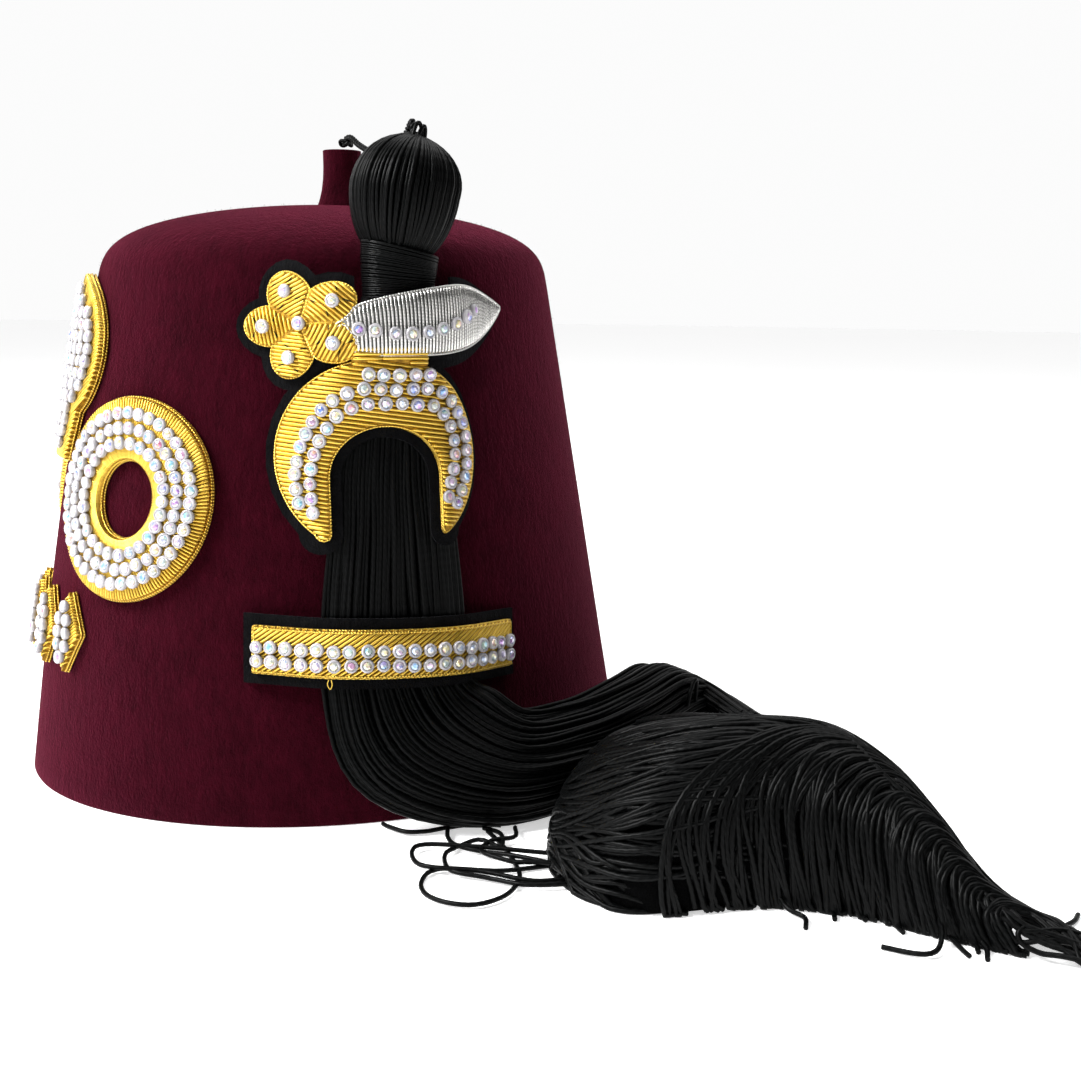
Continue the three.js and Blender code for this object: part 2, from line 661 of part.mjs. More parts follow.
const fez = new THREE.Group();
fez.add(piece("fez_felt", fezBody(), "felt"));
fez.add(piece("crown_stem", stem(), "felt"));
fez.add(piece("tassel_cord", cord(), "silk"));
fez.add(piece("tassel_head", tasselHead(), "silk"));
fez.add(piece("tassel_binding", tasselBinding(), "silk"));
fez.add(piece("tassel_skirt", tasselSkirt(), "silk"));
fez.add(piece("badge_felt", badgeFelt(), "blackFelt"));
fez.add(piece("badge_arch", badgeArch(), "gold"));
fez.add(piece("badge_arch_stones", archStones(), "stones"));
fez.add(piece("badge_leaf", badgeLeaf(), "silver"));
fez.add(piece("badge_leaf_stones", leafStones(), "stones"));
fez.add(piece("badge_flower", badgeFlower(), "gold"));
fez.add(...flowerStones());
fez.add(...barPieces());
fez.add(...wallRingPieces());
fez.add(...fanPieces());
fez.add(...pipPieces());

export default fez;
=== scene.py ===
# %% [markdown]
# # A felt fez with a long strand tassel
# This lesson dresses a finished solid model of a fez in its real materials. The solid model gives every
# piece its place and size. Here the plain solids become blocked wool felt, twisted silk strands, coiled
# gold wire and small faceted stones. Lengths are in millimetres and are written to Blender in metres.

# %% The frame of solid pieces
import math
import bmesh
import bpy
import numpy as np
from mathutils import Matrix


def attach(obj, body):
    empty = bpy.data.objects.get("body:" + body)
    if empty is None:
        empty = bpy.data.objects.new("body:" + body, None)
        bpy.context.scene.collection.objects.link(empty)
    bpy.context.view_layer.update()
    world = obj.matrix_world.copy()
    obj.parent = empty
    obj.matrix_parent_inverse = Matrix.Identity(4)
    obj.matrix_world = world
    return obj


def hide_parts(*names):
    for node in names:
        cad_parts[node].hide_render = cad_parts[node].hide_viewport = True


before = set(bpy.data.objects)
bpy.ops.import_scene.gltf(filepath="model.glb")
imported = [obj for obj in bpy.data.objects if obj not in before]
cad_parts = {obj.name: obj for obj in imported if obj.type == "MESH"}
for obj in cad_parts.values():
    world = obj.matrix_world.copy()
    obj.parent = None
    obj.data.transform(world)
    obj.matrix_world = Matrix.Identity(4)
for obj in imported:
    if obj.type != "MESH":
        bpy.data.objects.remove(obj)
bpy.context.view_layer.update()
MM = 0.001

# %% [markdown]
# ## Camera and light
# The camera stands a little above the crown's edge, in front of the wearer's left side, half a metre away.
# A low, near camera gives the strong taper that a hat shows when it stands on a table.

# %% The camera
def add_object(name, data):
    """Puts a mesh, a light or a camera into the scene as an object."""
    made = bpy.data.objects.new(name, data)
    bpy.context.scene.collection.objects.link(made)
    return made


def standing(place, right, up, back):
    """The matrix of an object that stands at a place with its own X, Y and Z along three directions."""
    return Matrix.Translation(place) @ Matrix((right, up, back)).transposed().to_4x4()


def place_camera(place, ahead, right, up, lens):
    camera = add_object("camera", bpy.data.cameras.new("camera"))
    camera.data.lens = lens
    camera.data.sensor_width = 36
    camera.data.clip_start = 0.01
    camera.matrix_world = standing(place, right, up, -ahead)
    bpy.context.scene.camera = camera
    print("camera at", place, "with a lens of", lens, "mm")


AHEAD = np.array([0.34189, 0.92375, -0.17263])
HEADING = math.radians(-20.31)
ROLL = 0.012
level_right = np.array([math.cos(HEADING), math.sin(HEADING), 0.0])
level_up = np.cross(level_right, AHEAD)
right = level_right * math.cos(ROLL) + level_up * math.sin(ROLL)
up = level_up * math.cos(ROLL) - level_right * math.sin(ROLL)
place_camera((-0.101565, -0.477825, 0.156), AHEAD, right, up, 47.81)

# %% The lights
def unit(v):
    return v / np.maximum(np.linalg.norm(v, axis=-1, keepdims=True), 1e-12)


def area_light(name, place, target, size, power):
    light = bpy.data.lights.new(name, "AREA")
    light.shape, light.size, light.energy = "DISK", size, power
    aim = unit(np.array(target) - np.array(place))
    side = unit(np.cross(aim, [0, 0, 1]))
    add_object(name, light).matrix_world = standing(place, side, np.cross(side, aim), -aim)


area_light("key", (-1.0, -0.05, 0.95), (0, 0, 0.12), 0.6, 36)
area_light("front_fill", (-0.7, -1.2, 0.8), (0.05, -0.1, 0.06), 0.5, 2.5)
area_light("top", (0.35, 0.15, 1.3), (0, 0, 0.1), 0.8, 9)
print("lights:", len(bpy.data.lights))

# %% The surroundings
# They are pale on the far side and darker on the near side, so that strands and wire show an edge of light.
world = bpy.data.worlds.new("studio")
world.use_nodes = True
background = world.node_tree.nodes["Background"]
way = world.node_tree.nodes.new("ShaderNodeTexCoord")
parts = world.node_tree.nodes.new("ShaderNodeSeparateXYZ")
fade = world.node_tree.nodes.new("ShaderNodeValToRGB")
for element, position, grey in zip(fade.color_ramp.elements, (0.0, 0.55), (0.1, 0.97)):
    element.position, element.color = position, (grey, grey, grey, 1)
world.node_tree.links.new(way.outputs["Generated"], parts.inputs[0])
world.node_tree.links.new(parts.outputs["Y"], fade.inputs["Fac"])
world.node_tree.links.new(fade.outputs["Color"], background.inputs["Color"])
background.inputs["Strength"].default_value = 1.0
bpy.context.scene.world = world
bpy.context.scene.view_settings.view_transform = "Standard"

# %% The floor
def floor_disc(radius, material, sides=96):
    mesh = bpy.data.meshes.new("floor")
    turns = np.linspace(0, 2 * math.pi, sides, endpoint=False)
    rim = [(radius * math.cos(t), radius * math.sin(t), 0) for t in turns]
    mesh.from_pydata(rim, [], [list(range(sides))])
    mesh.materials.append(material)
    add_object("floor", mesh)


# %% [markdown]
# ## Finishes
# Each finish is one Principled shader with procedural detail. Patterns read Object coordinates, in metres,
# so a scale of 1000 is a grain of about a millimetre. Constants are set on the shader itself.

# %% Helpers for finishes
class Finish:
    """One material, with short ways to add and join nodes."""

    def __init__(self, name, **constants):
        self.material = bpy.data.materials.new(name)
        self.material.use_nodes = True
        self.nodes = self.material.node_tree.nodes
        self.shader = self.nodes["Principled BSDF"]
        for socket, value in constants.items():
            self.shader.inputs[socket.replace("_", " ")].default_value = value
        self.coordinates = self.nodes.new("ShaderNodeTexCoord").outputs["Object"]

    def join(self, source, target):
        self.material.node_tree.links.new(source, target)

    def noise(self, scale, detail=2.0, roughness=0.5, stretch=None):
        node = self.nodes.new("ShaderNodeTexNoise")
        node.inputs["Scale"].default_value = scale
        node.inputs["Detail"].default_value = detail
        node.inputs["Roughness"].default_value = roughness
        source = self.coordinates
        if stretch:
            mapping = self.nodes.new("ShaderNodeMapping")
            mapping.inputs["Scale"].default_value = stretch
            self.join(source, mapping.inputs["Vector"])
            source = mapping.outputs["Vector"]
        self.join(source, node.inputs["Vector"])
        return node.outputs["Fac"]

    def attribute(self, name, output="Fac"):
        node = self.nodes.new("ShaderNodeAttribute")
        node.attribute_name = name
        return node.outputs[output]

    def math(self, operation, first, second=None, clamp=False):
        node = self.nodes.new("ShaderNodeMath")
        node.operation = operation
        node.use_clamp = clamp
        for socket, value in zip(node.inputs, (first, second)):
            if isinstance(value, (int, float)):
                socket.default_value = value
            elif value is not None:
                self.join(value, socket)
        return node.outputs[0]

    def ramp(self, source, stops):
        node = self.nodes.new("ShaderNodeValToRGB")
        elements = node.color_ramp.elements
        while len(elements) < len(stops):
            elements.new(0.5)
        for element, (position, colour) in zip(elements, stops):
            element.position = position
            element.color = (*colour, 1)
        self.join(source, node.inputs["Fac"])
        return node.outputs["Color"]

    def blend(self, share, first, second):
        node = self.nodes.new("ShaderNodeMix")
        node.data_type = "RGBA"
        node.inputs[0].default_value = share
        self.join(first, node.inputs[6])
        self.join(second, node.inputs[7])
        return node.outputs[2]

    def paint(self, colour):
        self.join(colour, self.shader.inputs["Base Color"])

    def bump(self, height, distance, strength):
        node = self.nodes.new("ShaderNodeBump")
        node.inputs["Strength"].default_value = strength
        node.inputs["Distance"].default_value = distance
        self.join(height, node.inputs["Height"])
        self.join(node.outputs["Normal"], self.shader.inputs["Normal"])


def half_wave(finish, wave):
    """Brings a wave from -1..1 to 0..1."""
    node = finish.nodes.new("ShaderNodeMath")
    node.operation = "MULTIPLY_ADD"
    finish.join(wave, node.inputs[0])
    node.inputs[1].default_value = 0.5
    node.inputs[2].default_value = 0.5
    return node.outputs[0]


# %% [markdown]
# Blocked wool felt is dense and matt. Its fibres lie every way, so a fine bump breaks up the light, a
# cloudy colour shows where the dye took unevenly, and a little sheen lifts the edges where fibres stand up.

# %% Felts
def felt_finish(name, dark, light, sheen_tint, sheen):
    finish = Finish(name, Roughness=0.95, Sheen_Weight=sheen, Sheen_Roughness=0.45)
    finish.shader.inputs["Sheen Tint"].default_value = (*sheen_tint, 1)
    finish.shader.inputs["Specular IOR Level"].default_value = 0.02
    cloud = finish.noise(60, 5, 0.7)
    grain = finish.noise(1100, 3, 0.7)
    fibres = finish.noise(260, 5, 0.8, (1.5, 1.5, 0.55))
    mixed = finish.math("ADD", finish.math("MULTIPLY", cloud, 0.45), finish.math("MULTIPLY", fibres, 0.55))
    colour = finish.ramp(mixed, [(0.36, dark), (0.64, light)])
    finish.paint(colour)
    height = finish.math("ADD", finish.math("MULTIPLY", grain, 0.5), fibres)
    finish.bump(height, 0.001, 0.8)
    return finish.material


burgundy_felt = felt_finish(
    "burgundy_felt", (0.0105, 0.0004, 0.0016), (0.028, 0.0013, 0.0048), (0.9, 0.13, 0.27), 0.22
)
black_felt = felt_finish(
    "black_felt", (0.0022, 0.0022, 0.0026), (0.006, 0.006, 0.0065), (0.5, 0.5, 0.55), 0.05
)
print("felts:", burgundy_felt.name, black_felt.name)

# %% [markdown]
# Tassel strands are thin black cords of twisted rayon. Light runs along them in a soft streak that the
# twist breaks into short slanted glints. The twist is a wave that winds round each tube. It dents the
# surface, and painted shade darkens the colour in its grooves.

# %% Silk strands
PLIES, PLY_RELIEF = 2.0, 0.00005


def silk_finish(name, dark, light, pitch, roughness):
    finish = Finish(name, Roughness=roughness, Sheen_Weight=0.0)
    finish.shader.inputs["Specular IOR Level"].default_value = 0.08
    around = finish.nodes.new("ShaderNodeSeparateXYZ")
    finish.join(finish.attribute("around", "Vector"), around.inputs[0])
    angle = finish.math("ARCTAN2", around.outputs["Y"], around.outputs["X"])
    along = finish.math("MULTIPLY", finish.attribute("along"), 2 * math.pi / pitch)
    phase = finish.math("ADD", finish.math("MULTIPLY", angle, PLIES), along)
    groove = half_wave(finish, finish.math("SINE", phase))
    tone = finish.math("ADD", finish.math("MULTIPLY", finish.attribute("tone"), 0.7), 0.3)
    # Painted shade: the colour is darker in the twist's grooves. Each strand's tone also differs at random.
    tone_and_groove_shade = finish.math("MULTIPLY", tone, groove, clamp=True)
    finish.paint(finish.ramp(tone_and_groove_shade, [(0.0, dark), (1.0, light)]))
    finish.bump(groove, PLY_RELIEF, 0.6)
    return finish.material


strand_silk = silk_finish("strand_silk", (0.0005, 0.0006, 0.0006), (0.0026, 0.0029, 0.003), 0.0024, 0.42)
thread_silk = silk_finish("binding_thread", (0.0007, 0.0008, 0.0008), (0.0032, 0.0035, 0.0036), 0.002, 0.36)
shadow_silk = felt_finish("strand_shadow", (0.0008,) * 3, (0.0018, 0.0018, 0.002), (0.3,) * 3, 0.0)
print("silks:", strand_silk.name, thread_silk.name, shadow_silk.name)

# %% [markdown]
# Goldwork is couched wire. The fill is smooth purl, a tight coil that shines like a rod with fine turns,
# and the outline is pearl purl, a coarser coil that looks like a string of tiny beads. The gaps between
# the turns are given a deeper colour, as painted shade.

# %% Wire
def wire_finish(name, colour, deep, pitch, relief, roughness):
    finish = Finish(name, Metallic=1.0, Roughness=roughness)
    turns = finish.math("MULTIPLY", finish.attribute("along"), 2 * math.pi / pitch)
    coil = half_wave(finish, finish.math("SINE", turns))
    tone = finish.math("MULTIPLY", finish.attribute("tone"), 0.5)
    # Painted shade: the colour turns to the deep colour in the gaps between the coil's turns. Each wire's
    # tone also differs at random.
    tone_and_coil_shade = finish.math("ADD", finish.math("MULTIPLY", coil, 0.6), tone, clamp=True)
    finish.paint(finish.ramp(tone_and_coil_shade, [(0.0, deep), (0.55, colour)]))
    finish.bump(coil, relief, 0.8)
    return finish.material


# The deep colours are painted shade for the gaps between a coil's turns.
GOLD = (0.78, 0.53, 0.09)
GOLD_GAP_SHADE = (0.4, 0.22, 0.012)
SILVER = (0.74, 0.73, 0.7)
SILVER_GAP_SHADE = (0.42, 0.41, 0.41)
gold_fill = wire_finish("gold_smooth_purl", GOLD, GOLD_GAP_SHADE, 0.0004, 0.00004, 0.32)
gold_edge = wire_finish("gold_pearl_purl", GOLD, (0.22, 0.1, 0.005), 0.0009, 0.0002, 0.3)
silver_fill = wire_finish("silver_smooth_purl", SILVER, SILVER_GAP_SHADE, 0.0004, 0.00004, 0.26)
silver_edge = wire_finish("silver_pearl_purl", SILVER, (0.16, 0.16, 0.16), 0.0009, 0.0002, 0.32)


def padding_finish(name, dark, light):
    finish = Finish(name, Metallic=0.6, Roughness=0.5)
    finish.paint(finish.ramp(finish.noise(700, 3), [(0.35, dark), (0.65, light)]))
    finish.bump(finish.noise(1500, 2), 0.0002, 0.5)
    return finish.material


gold_padding = padding_finish("gold_padding", (0.2, 0.1, 0.004), (0.5, 0.28, 0.02))
silver_padding = padding_finish("silver_padding", (0.2, 0.2, 0.2), (0.45, 0.45, 0.44))
print("wires:", gold_fill.name, gold_edge.name, silver_fill.name, silver_edge.name)

# %% [markdown]
# The stones are clear faceted glass with a rainbow coating, each in a cup of milky plastic. Every stone
# carries its own tint, because the coating shows another colour at each angle.

# %% Stones
def stone_finish():
    finish = Finish(
        "coated_stone", Metallic=0.35, Roughness=0.06, IOR=1.75, Coat_Weight=1.0, Coat_Roughness=0.03
    )
    tint = finish.attribute("tint", "Color")
    clouds = finish.ramp(finish.noise(620, 0), [
        (0.36, (0.3, 0.5, 0.9)), (0.46, (0.95, 0.97, 1.0)),
        (0.54, (1.0, 0.92, 0.55)), (0.66, (0.75, 0.35, 0.75)),
    ])
    finish.paint(finish.blend(0.5, tint, clouds))
    return finish.material


def cup_finish():
    finish = Finish(
        "milky_cup", Roughness=0.22, Coat_Weight=0.5, Coat_Roughness=0.08, Subsurface_Weight=0.15
    )
    finish.shader.inputs["Subsurface Radius"].default_value = (0.0006, 0.0006, 0.0006)
    colour = finish.ramp(finish.noise(260, 2), [(0.35, (0.34, 0.33, 0.35)), (0.65, (0.5, 0.48, 0.5))])
    finish.paint(colour)
    return finish.material


stone_glass = stone_finish()
stone_cup = cup_finish()


def floor_finish():
    finish = Finish("pale_floor", Roughness=0.8, Emission_Strength=0.55)
    finish.shader.inputs["Emission Color"].default_value = (1, 1, 1, 1)
    finish.paint(finish.ramp(finish.noise(3, 2), [(0.3, (0.86,) * 3), (0.7, (0.88,) * 3)]))
    return finish.material


floor_disc(6.0, floor_finish())
print("finishes:", len(bpy.data.materials))

# %% [markdown]
# ## The shape of the wall
# The wall is an oval cone that swells a little at the front and rolls over into the crown. Everything sewn
# to it is drawn flat first, as on an embroidery frame, then bent round it: across is the distance round the
# wall from the middle of the wearer's left side, and height is above the rim.

# %% The wall as a function
HALF_LENGTH, HALF_WIDTH, HEIGHT = 100.0, 84.0, 182.0
SHOULDER, EDGE_POWER, DOME_POWER = 156.0, 3.5, 1.7
TAPER, SWELL, FELT = 0.3 / 174, 2.7, 2.5


def plan_scale(z):
    return 1 - TAPER * np.asarray(z, float)


def crown_share(z):
    """How much of the plan is left at height z, where the wall turns over into the crown."""
    rise = np.clip((np.asarray(z, float) - SHOULDER) / (HEIGHT - SHOULDER), 0, 1)
    return (1 - rise**EDGE_POWER) ** (1 / DOME_POWER)


def wall_point(angle, z):
    angle, z = np.broadcast_arrays(np.asarray(angle, float), np.asarray(z, float))
    share = crown_share(z)
    swell = SWELL * np.sin(math.pi * z / HEIGHT) * np.maximum(0, -np.cos(angle)) ** 2 * share
    x = (HALF_LENGTH * plan_scale(z) * share + swell) * np.cos(angle)
    y = HALF_WIDTH * plan_scale(z) * share * np.sin(angle)
    return np.stack([x, y, z], -1)


def wall_frame(angle, z):
    step = 0.01
    along = unit(wall_point(angle + step, z) - wall_point(angle - step, z))
    rise = unit(wall_point(angle, z + step) - wall_point(angle, z - step))
    return along, rise, unit(np.cross(along, rise))


# %% Distance round the wall
def lengths_along(path):
    """How far along a path each of its points is."""
    return np.concatenate([[0], np.cumsum(np.linalg.norm(np.diff(path, axis=0), axis=1))])


rim_angles = np.linspace(-math.pi / 2, 3 * math.pi / 2, 1441)
rim_points = np.stack([HALF_LENGTH * np.cos(rim_angles), HALF_WIDTH * np.sin(rim_angles)], -1)
rim_lengths = lengths_along(rim_points)
RIM_TOTAL = rim_lengths[-1]


def angle_at(across, z):
    target = np.mod(np.asarray(across, float) / plan_scale(z), RIM_TOTAL)
    return np.interp(target, rim_lengths, rim_angles)


def front_across(z):
    return -RIM_TOTAL / 4 * plan_scale(z)


class Spot:
    """Where a flat pattern is sewn: its origin on the wall, its tilt, and how far it stands off."""

    def __init__(self, across, z, tilt=0.0, lift=None):
        self.across, self.z = across, z
        self.cos, self.sin = math.cos(math.radians(tilt)), math.sin(math.radians(tilt))
        self.lift = lift

    def place(self, x, y, height):
        """Points of the pattern in space, and the directions that they face."""
        x, y, height = (np.asarray(v, float) for v in np.broadcast_arrays(x, y, height))
        z = self.z + x * self.sin + y * self.cos
        across = self.across * plan_scale(z) / plan_scale(self.z) + x * self.cos - y * self.sin
        angle = angle_at(across, z)
        off = 0.3 + height + (self.lift(across, z) if self.lift else 0)
        out = wall_frame(angle, z)[2]
        return wall_point(angle, z) + out * off[..., None], out

    def facing(self, x, y, height):
        """The direction that the pattern's own surface faces, where it bows off the wall."""
        step = 0.5
        middle = self.place(x, y, height)[0]
        over = self.place(x + step, y, height)[0] - middle
        rise = self.place(x, np.asarray(y) + step, height)[0] - middle
        return unit(np.cross(over, rise))


print("rim, outside:", round(RIM_TOTAL), "mm round")

# %% [markdown]
# ## Tools for wires, strands and stones
# A wire or a strand is a line of points. One tree of Geometry Nodes turns such lines into tubes and keeps,
# for the finish, how far along the line and where round the tube each point is. A second tree sets a small
# shape on every point of a cloud, facing outwards.

# %% Building and running a tree
def new_tree(name, sockets):
    tree = bpy.data.node_groups.new(name, "GeometryNodeTree")
    tree.interface.new_socket("Geometry", in_out="INPUT", socket_type="NodeSocketGeometry")
    for label, kind in sockets:
        tree.interface.new_socket(label, in_out="INPUT", socket_type="NodeSocket" + kind)
    tree.interface.new_socket("Geometry", in_out="OUTPUT", socket_type="NodeSocketGeometry")
    return tree, tree.nodes.new("NodeGroupInput"), tree.nodes.new("NodeGroupOutput")


def end_tree(tree, given, result, geometry):
    """Ends a tree with real geometry in the piece's finish."""
    real = tree.nodes.new("GeometryNodeRealizeInstances")
    painted = tree.nodes.new("GeometryNodeSetMaterial")
    tree.links.new(geometry, real.inputs["Geometry"])
    tree.links.new(real.outputs["Geometry"], painted.inputs["Geometry"])
    tree.links.new(given.outputs["Finish"], painted.inputs["Material"])
    tree.links.new(painted.outputs["Geometry"], result.inputs["Geometry"])
    print(tree.name, "nodes:", len(tree.nodes))
    return tree


def named_value(tree, name, kind, geometry, value):
    """Stores a value on every point under a name, for the finish to read."""
    store = tree.nodes.new("GeometryNodeStoreNamedAttribute")
    store.data_type, store.domain = kind, "POINT"
    store.inputs["Name"].default_value = name
    tree.links.new(geometry, store.inputs["Geometry"])
    tree.links.new(value, store.inputs["Value"])
    return store.outputs["Geometry"]


def set_on_points(tree, points, shape, rotation, scale):
    """Sets a shape on every point of a cloud, turned and scaled."""
    info = tree.nodes.new("GeometryNodeObjectInfo")
    setting = tree.nodes.new("GeometryNodeInstanceOnPoints")
    tree.links.new(shape, info.inputs["Object"])
    tree.links.new(info.outputs["Geometry"], setting.inputs["Instance"])
    for socket, source in (("Points", points), ("Rotation", rotation), ("Scale", scale)):
        tree.links.new(source, setting.inputs[socket])
    return setting.outputs["Instances"]


def grow(host, tree, name, **inputs):
    """Runs a tree on a host object and keeps the result as a plain mesh."""
    modifier = host.modifiers.new(tree.name, "NODES")
    modifier.node_group = tree
    for item in tree.interface.items_tree:
        if item.in_out == "INPUT" and item.name in inputs:
            modifier[item.identifier] = inputs[item.name]
    graph = bpy.context.evaluated_depsgraph_get()
    mesh = bpy.data.meshes.new_from_object(
        host.evaluated_get(graph), preserve_all_data_layers=True, depsgraph=graph
    )
    bpy.data.objects.remove(host)
    mesh.name = name
    return add_object(name, mesh)


def ready(piece, slot, *nodes):
    """Fixes a finished piece to the body and hides the solids that it stands for."""
    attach(piece, "root")
    if nodes:
        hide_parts(*nodes)
    piece.data.calc_loop_triangles()
    print(piece.name, "triangles:", len(piece.data.loop_triangles))
    return piece


# %% The tube tree
def tube_tree():
    tree, given, result = new_tree(
        "lines_to_tubes", [("Thickness", "Float"), ("Sides", "Int"), ("Finish", "Material")]
    )
    add, link = tree.nodes.new, tree.links.new
    curve = add("GeometryNodeMeshToCurve")
    link(given.outputs["Geometry"], curve.inputs["Mesh"])
    length = add("GeometryNodeSplineParameter").outputs["Length"]
    line = named_value(tree, "along", "FLOAT", curve.outputs["Curve"], length)
    circle = add("GeometryNodeCurvePrimitiveCircle")
    link(given.outputs["Sides"], circle.inputs["Resolution"])
    circle.inputs["Radius"].default_value = 1.0
    position = add("GeometryNodeInputPosition").outputs[0]
    profile = named_value(tree, "around", "FLOAT_VECTOR", circle.outputs["Curve"], position)
    sized = add("GeometryNodeTransform")
    half = add("ShaderNodeMath")
    half.operation = "MULTIPLY"
    half.inputs[1].default_value = 0.5
    link(given.outputs["Thickness"], half.inputs[0])
    scale = add("ShaderNodeCombineXYZ")
    for socket in scale.inputs:
        link(half.outputs[0], socket)
    link(profile, sized.inputs["Geometry"])
    link(scale.outputs[0], sized.inputs["Scale"])
    tube = add("GeometryNodeCurveToMesh")
    link(line, tube.inputs["Curve"])
    link(sized.outputs["Geometry"], tube.inputs["Profile Curve"])
    tube.inputs["Fill Caps"].default_value = True
    smooth = add("GeometryNodeSetShadeSmooth")
    link(tube.outputs["Mesh"], smooth.inputs["Geometry"])
    return end_tree(tree, given, result, smooth.outputs["Geometry"])


TUBES = tube_tree()


def tubes(name, lines, thickness, sides, finish, seed=1, closed=False):
    """Tubes along lines of points, which are in millimetres."""
    rng = np.random.default_rng(seed)
    counts = [len(line) for line in lines]
    points = np.concatenate(lines) * MM
    starts = np.cumsum([0] + counts[:-1])
    edges = []
    for start, count in zip(starts, counts):
        run = np.arange(start, start + count)
        edges.append(np.stack([run[:-1], run[1:]], -1))
        if closed:
            edges.append(np.array([[run[-1], run[0]]]))
    mesh = bpy.data.meshes.new(name + "_lines")
    mesh.from_pydata(points.tolist(), np.concatenate(edges).tolist(), [])
    tone = mesh.attributes.new("tone", "FLOAT", "POINT")
    tone.data.foreach_set("value", np.repeat(rng.random(len(lines)), counts))
    host = add_object(name + "_lines", mesh)
    return grow(host, TUBES, name, Thickness=thickness * MM, Sides=sides, Finish=finish)


# %% The setting tree
def setting_tree():
    tree, given, result = new_tree("shapes_on_points", [("Shape", "Object"), ("Finish", "Material")])
    read = {}
    for name, kind in (("facing", "FLOAT_VECTOR"), ("size", "FLOAT")):
        node = tree.nodes.new("GeometryNodeInputNamedAttribute")
        node.data_type = kind
        node.inputs["Name"].default_value = name
        read[name] = node.outputs["Attribute"]
    turn = tree.nodes.new("FunctionNodeAlignRotationToVector")
    turn.axis = "Z"
    tree.links.new(read["facing"], turn.inputs["Vector"])
    shapes = set_on_points(
        tree, given.outputs["Geometry"], given.outputs["Shape"], turn.outputs["Rotation"], read["size"]
    )
    return end_tree(tree, given, result, shapes)


SETTINGS = setting_tree()

# %% Shapes set on places
TINTS = np.array([
    (0.85, 0.87, 0.95), (0.85, 0.85, 0.45), (0.35, 0.8, 0.78), (0.5, 0.4, 0.85),
    (0.9, 0.6, 0.7), (0.9, 0.78, 0.3), (0.25, 0.5, 0.9), (0.75, 0.2, 0.15), (0.15, 0.15, 0.6),
])
TINT_SHARES = np.array([22, 14, 13, 13, 10, 10, 9, 4, 5], float)
STONE_LEAN, STONE_SPREAD, STONE_STRAY = 0.07, 0.03, 0.07


def set_shapes(name, places, facing, shape, finish, seed):
    """Copies of a shape at places, each with a slight lean, a size and a tint of its own."""
    rng = np.random.default_rng(seed)
    count = len(places)
    mesh = bpy.data.meshes.new(name + "_places")
    mesh.from_pydata((places * MM).tolist(), [], [])
    leaning = unit(facing + rng.normal(0, STONE_LEAN, (count, 3)))
    mesh.attributes.new("facing", "FLOAT_VECTOR", "POINT").data.foreach_set("vector", leaning.ravel())
    sizes = 1 + rng.normal(0, STONE_SPREAD, count)
    mesh.attributes.new("size", "FLOAT", "POINT").data.foreach_set("value", sizes)
    chosen = TINTS[rng.choice(len(TINTS), count, p=TINT_SHARES / TINT_SHARES.sum())]
    colours = np.concatenate([chosen, np.ones((count, 1))], 1)
    mesh.attributes.new("tint", "FLOAT_COLOR", "POINT").data.foreach_set("color", colours.ravel())
    return grow(add_object(name + "_places", mesh), SETTINGS, name, Shape=shape, Finish=finish)


# %% [markdown]
# One stone and one cup are drawn as turned shapes. Each has only a few dozen faces, because
# hundreds of them are set.

# %% The stone and its cup
def bands(rings, count):
    """Four-sided faces between rings of points, each ring to the next."""
    return [
        (r * count + i, r * count + (i + 1) % count, (r + 1) * count + (i + 1) % count, (r + 1) * count + i)
        for r in range(rings - 1) for i in range(count)
    ]


def turned(name, profile, sides, smooth):
    """A closed shape turned round Z from rings of (radius, height), in millimetres."""
    turns = 2 * math.pi * np.arange(sides) / sides
    points = [
        (radius * math.cos(turn) * MM, radius * math.sin(turn) * MM, height * MM)
        for radius, height in profile for turn in turns
    ]
    faces = bands(len(profile), sides)
    faces.append(tuple(reversed(range(sides))))
    faces.append(tuple(range((len(profile) - 1) * sides, len(profile) * sides)))
    mesh = bpy.data.meshes.new(name)
    mesh.from_pydata(points, [], faces)
    mesh.polygons.foreach_set("use_smooth", [smooth] * len(faces))
    return bpy.data.objects.new(name, mesh)


stone_shape = turned("stone_shape", [(0.8, 0.9), (1.22, 1.3), (1.02, 1.62), (0.58, 1.86)], 8, False)
cup_shape = turned(
    "cup_shape", [(1.65, -0.2), (2.0, 0.35), (2.06, 0.95), (1.9, 1.42), (1.48, 1.6), (1.14, 1.2)], 12, True
)
print("faces of a stone and a cup:", len(stone_shape.data.polygons), len(cup_shape.data.polygons))


def set_stones(name, spot, flat, height, seed, nodes):
    """Stones in cups at flat points of a pattern. The cups stand for the plain solids."""
    flat = np.asarray(flat, float)
    places, _ = spot.place(flat[:, 0], flat[:, 1], height)
    facing = spot.facing(flat[:, 0], flat[:, 1], height)
    rng = np.random.default_rng(seed)
    places = places + rng.normal(0, STONE_STRAY, places.shape)
    ready(set_shapes(name + "_cups", places, facing, cup_shape, stone_cup, seed), "stones", *nodes)
    ready(set_shapes(name + "_gems", places, facing, stone_shape, stone_glass, seed), "stones")


# %% [markdown]
# ## Flat patterns
# Every goldwork shape is a closed outline. A fill of wires needs the stretches of many parallel lines that
# lie inside the outline, and a row of stones needs equal steps along a path.

# %% Outlines and steps
def ellipse(x, y, half_width, half_height, turn=0.0, count=72):
    t = np.linspace(0, 2 * math.pi, count, endpoint=False)
    c, s = math.cos(turn), math.sin(turn)
    u, v = half_width * np.cos(t), half_height * np.sin(t)
    return np.stack([x + u * c - v * s, y + u * s + v * c], -1)


def arc(x, y, radius, start, end, count=40):
    t = np.linspace(start, end, count)
    return np.stack([x + radius * np.cos(t), y + radius * np.sin(t)], -1)


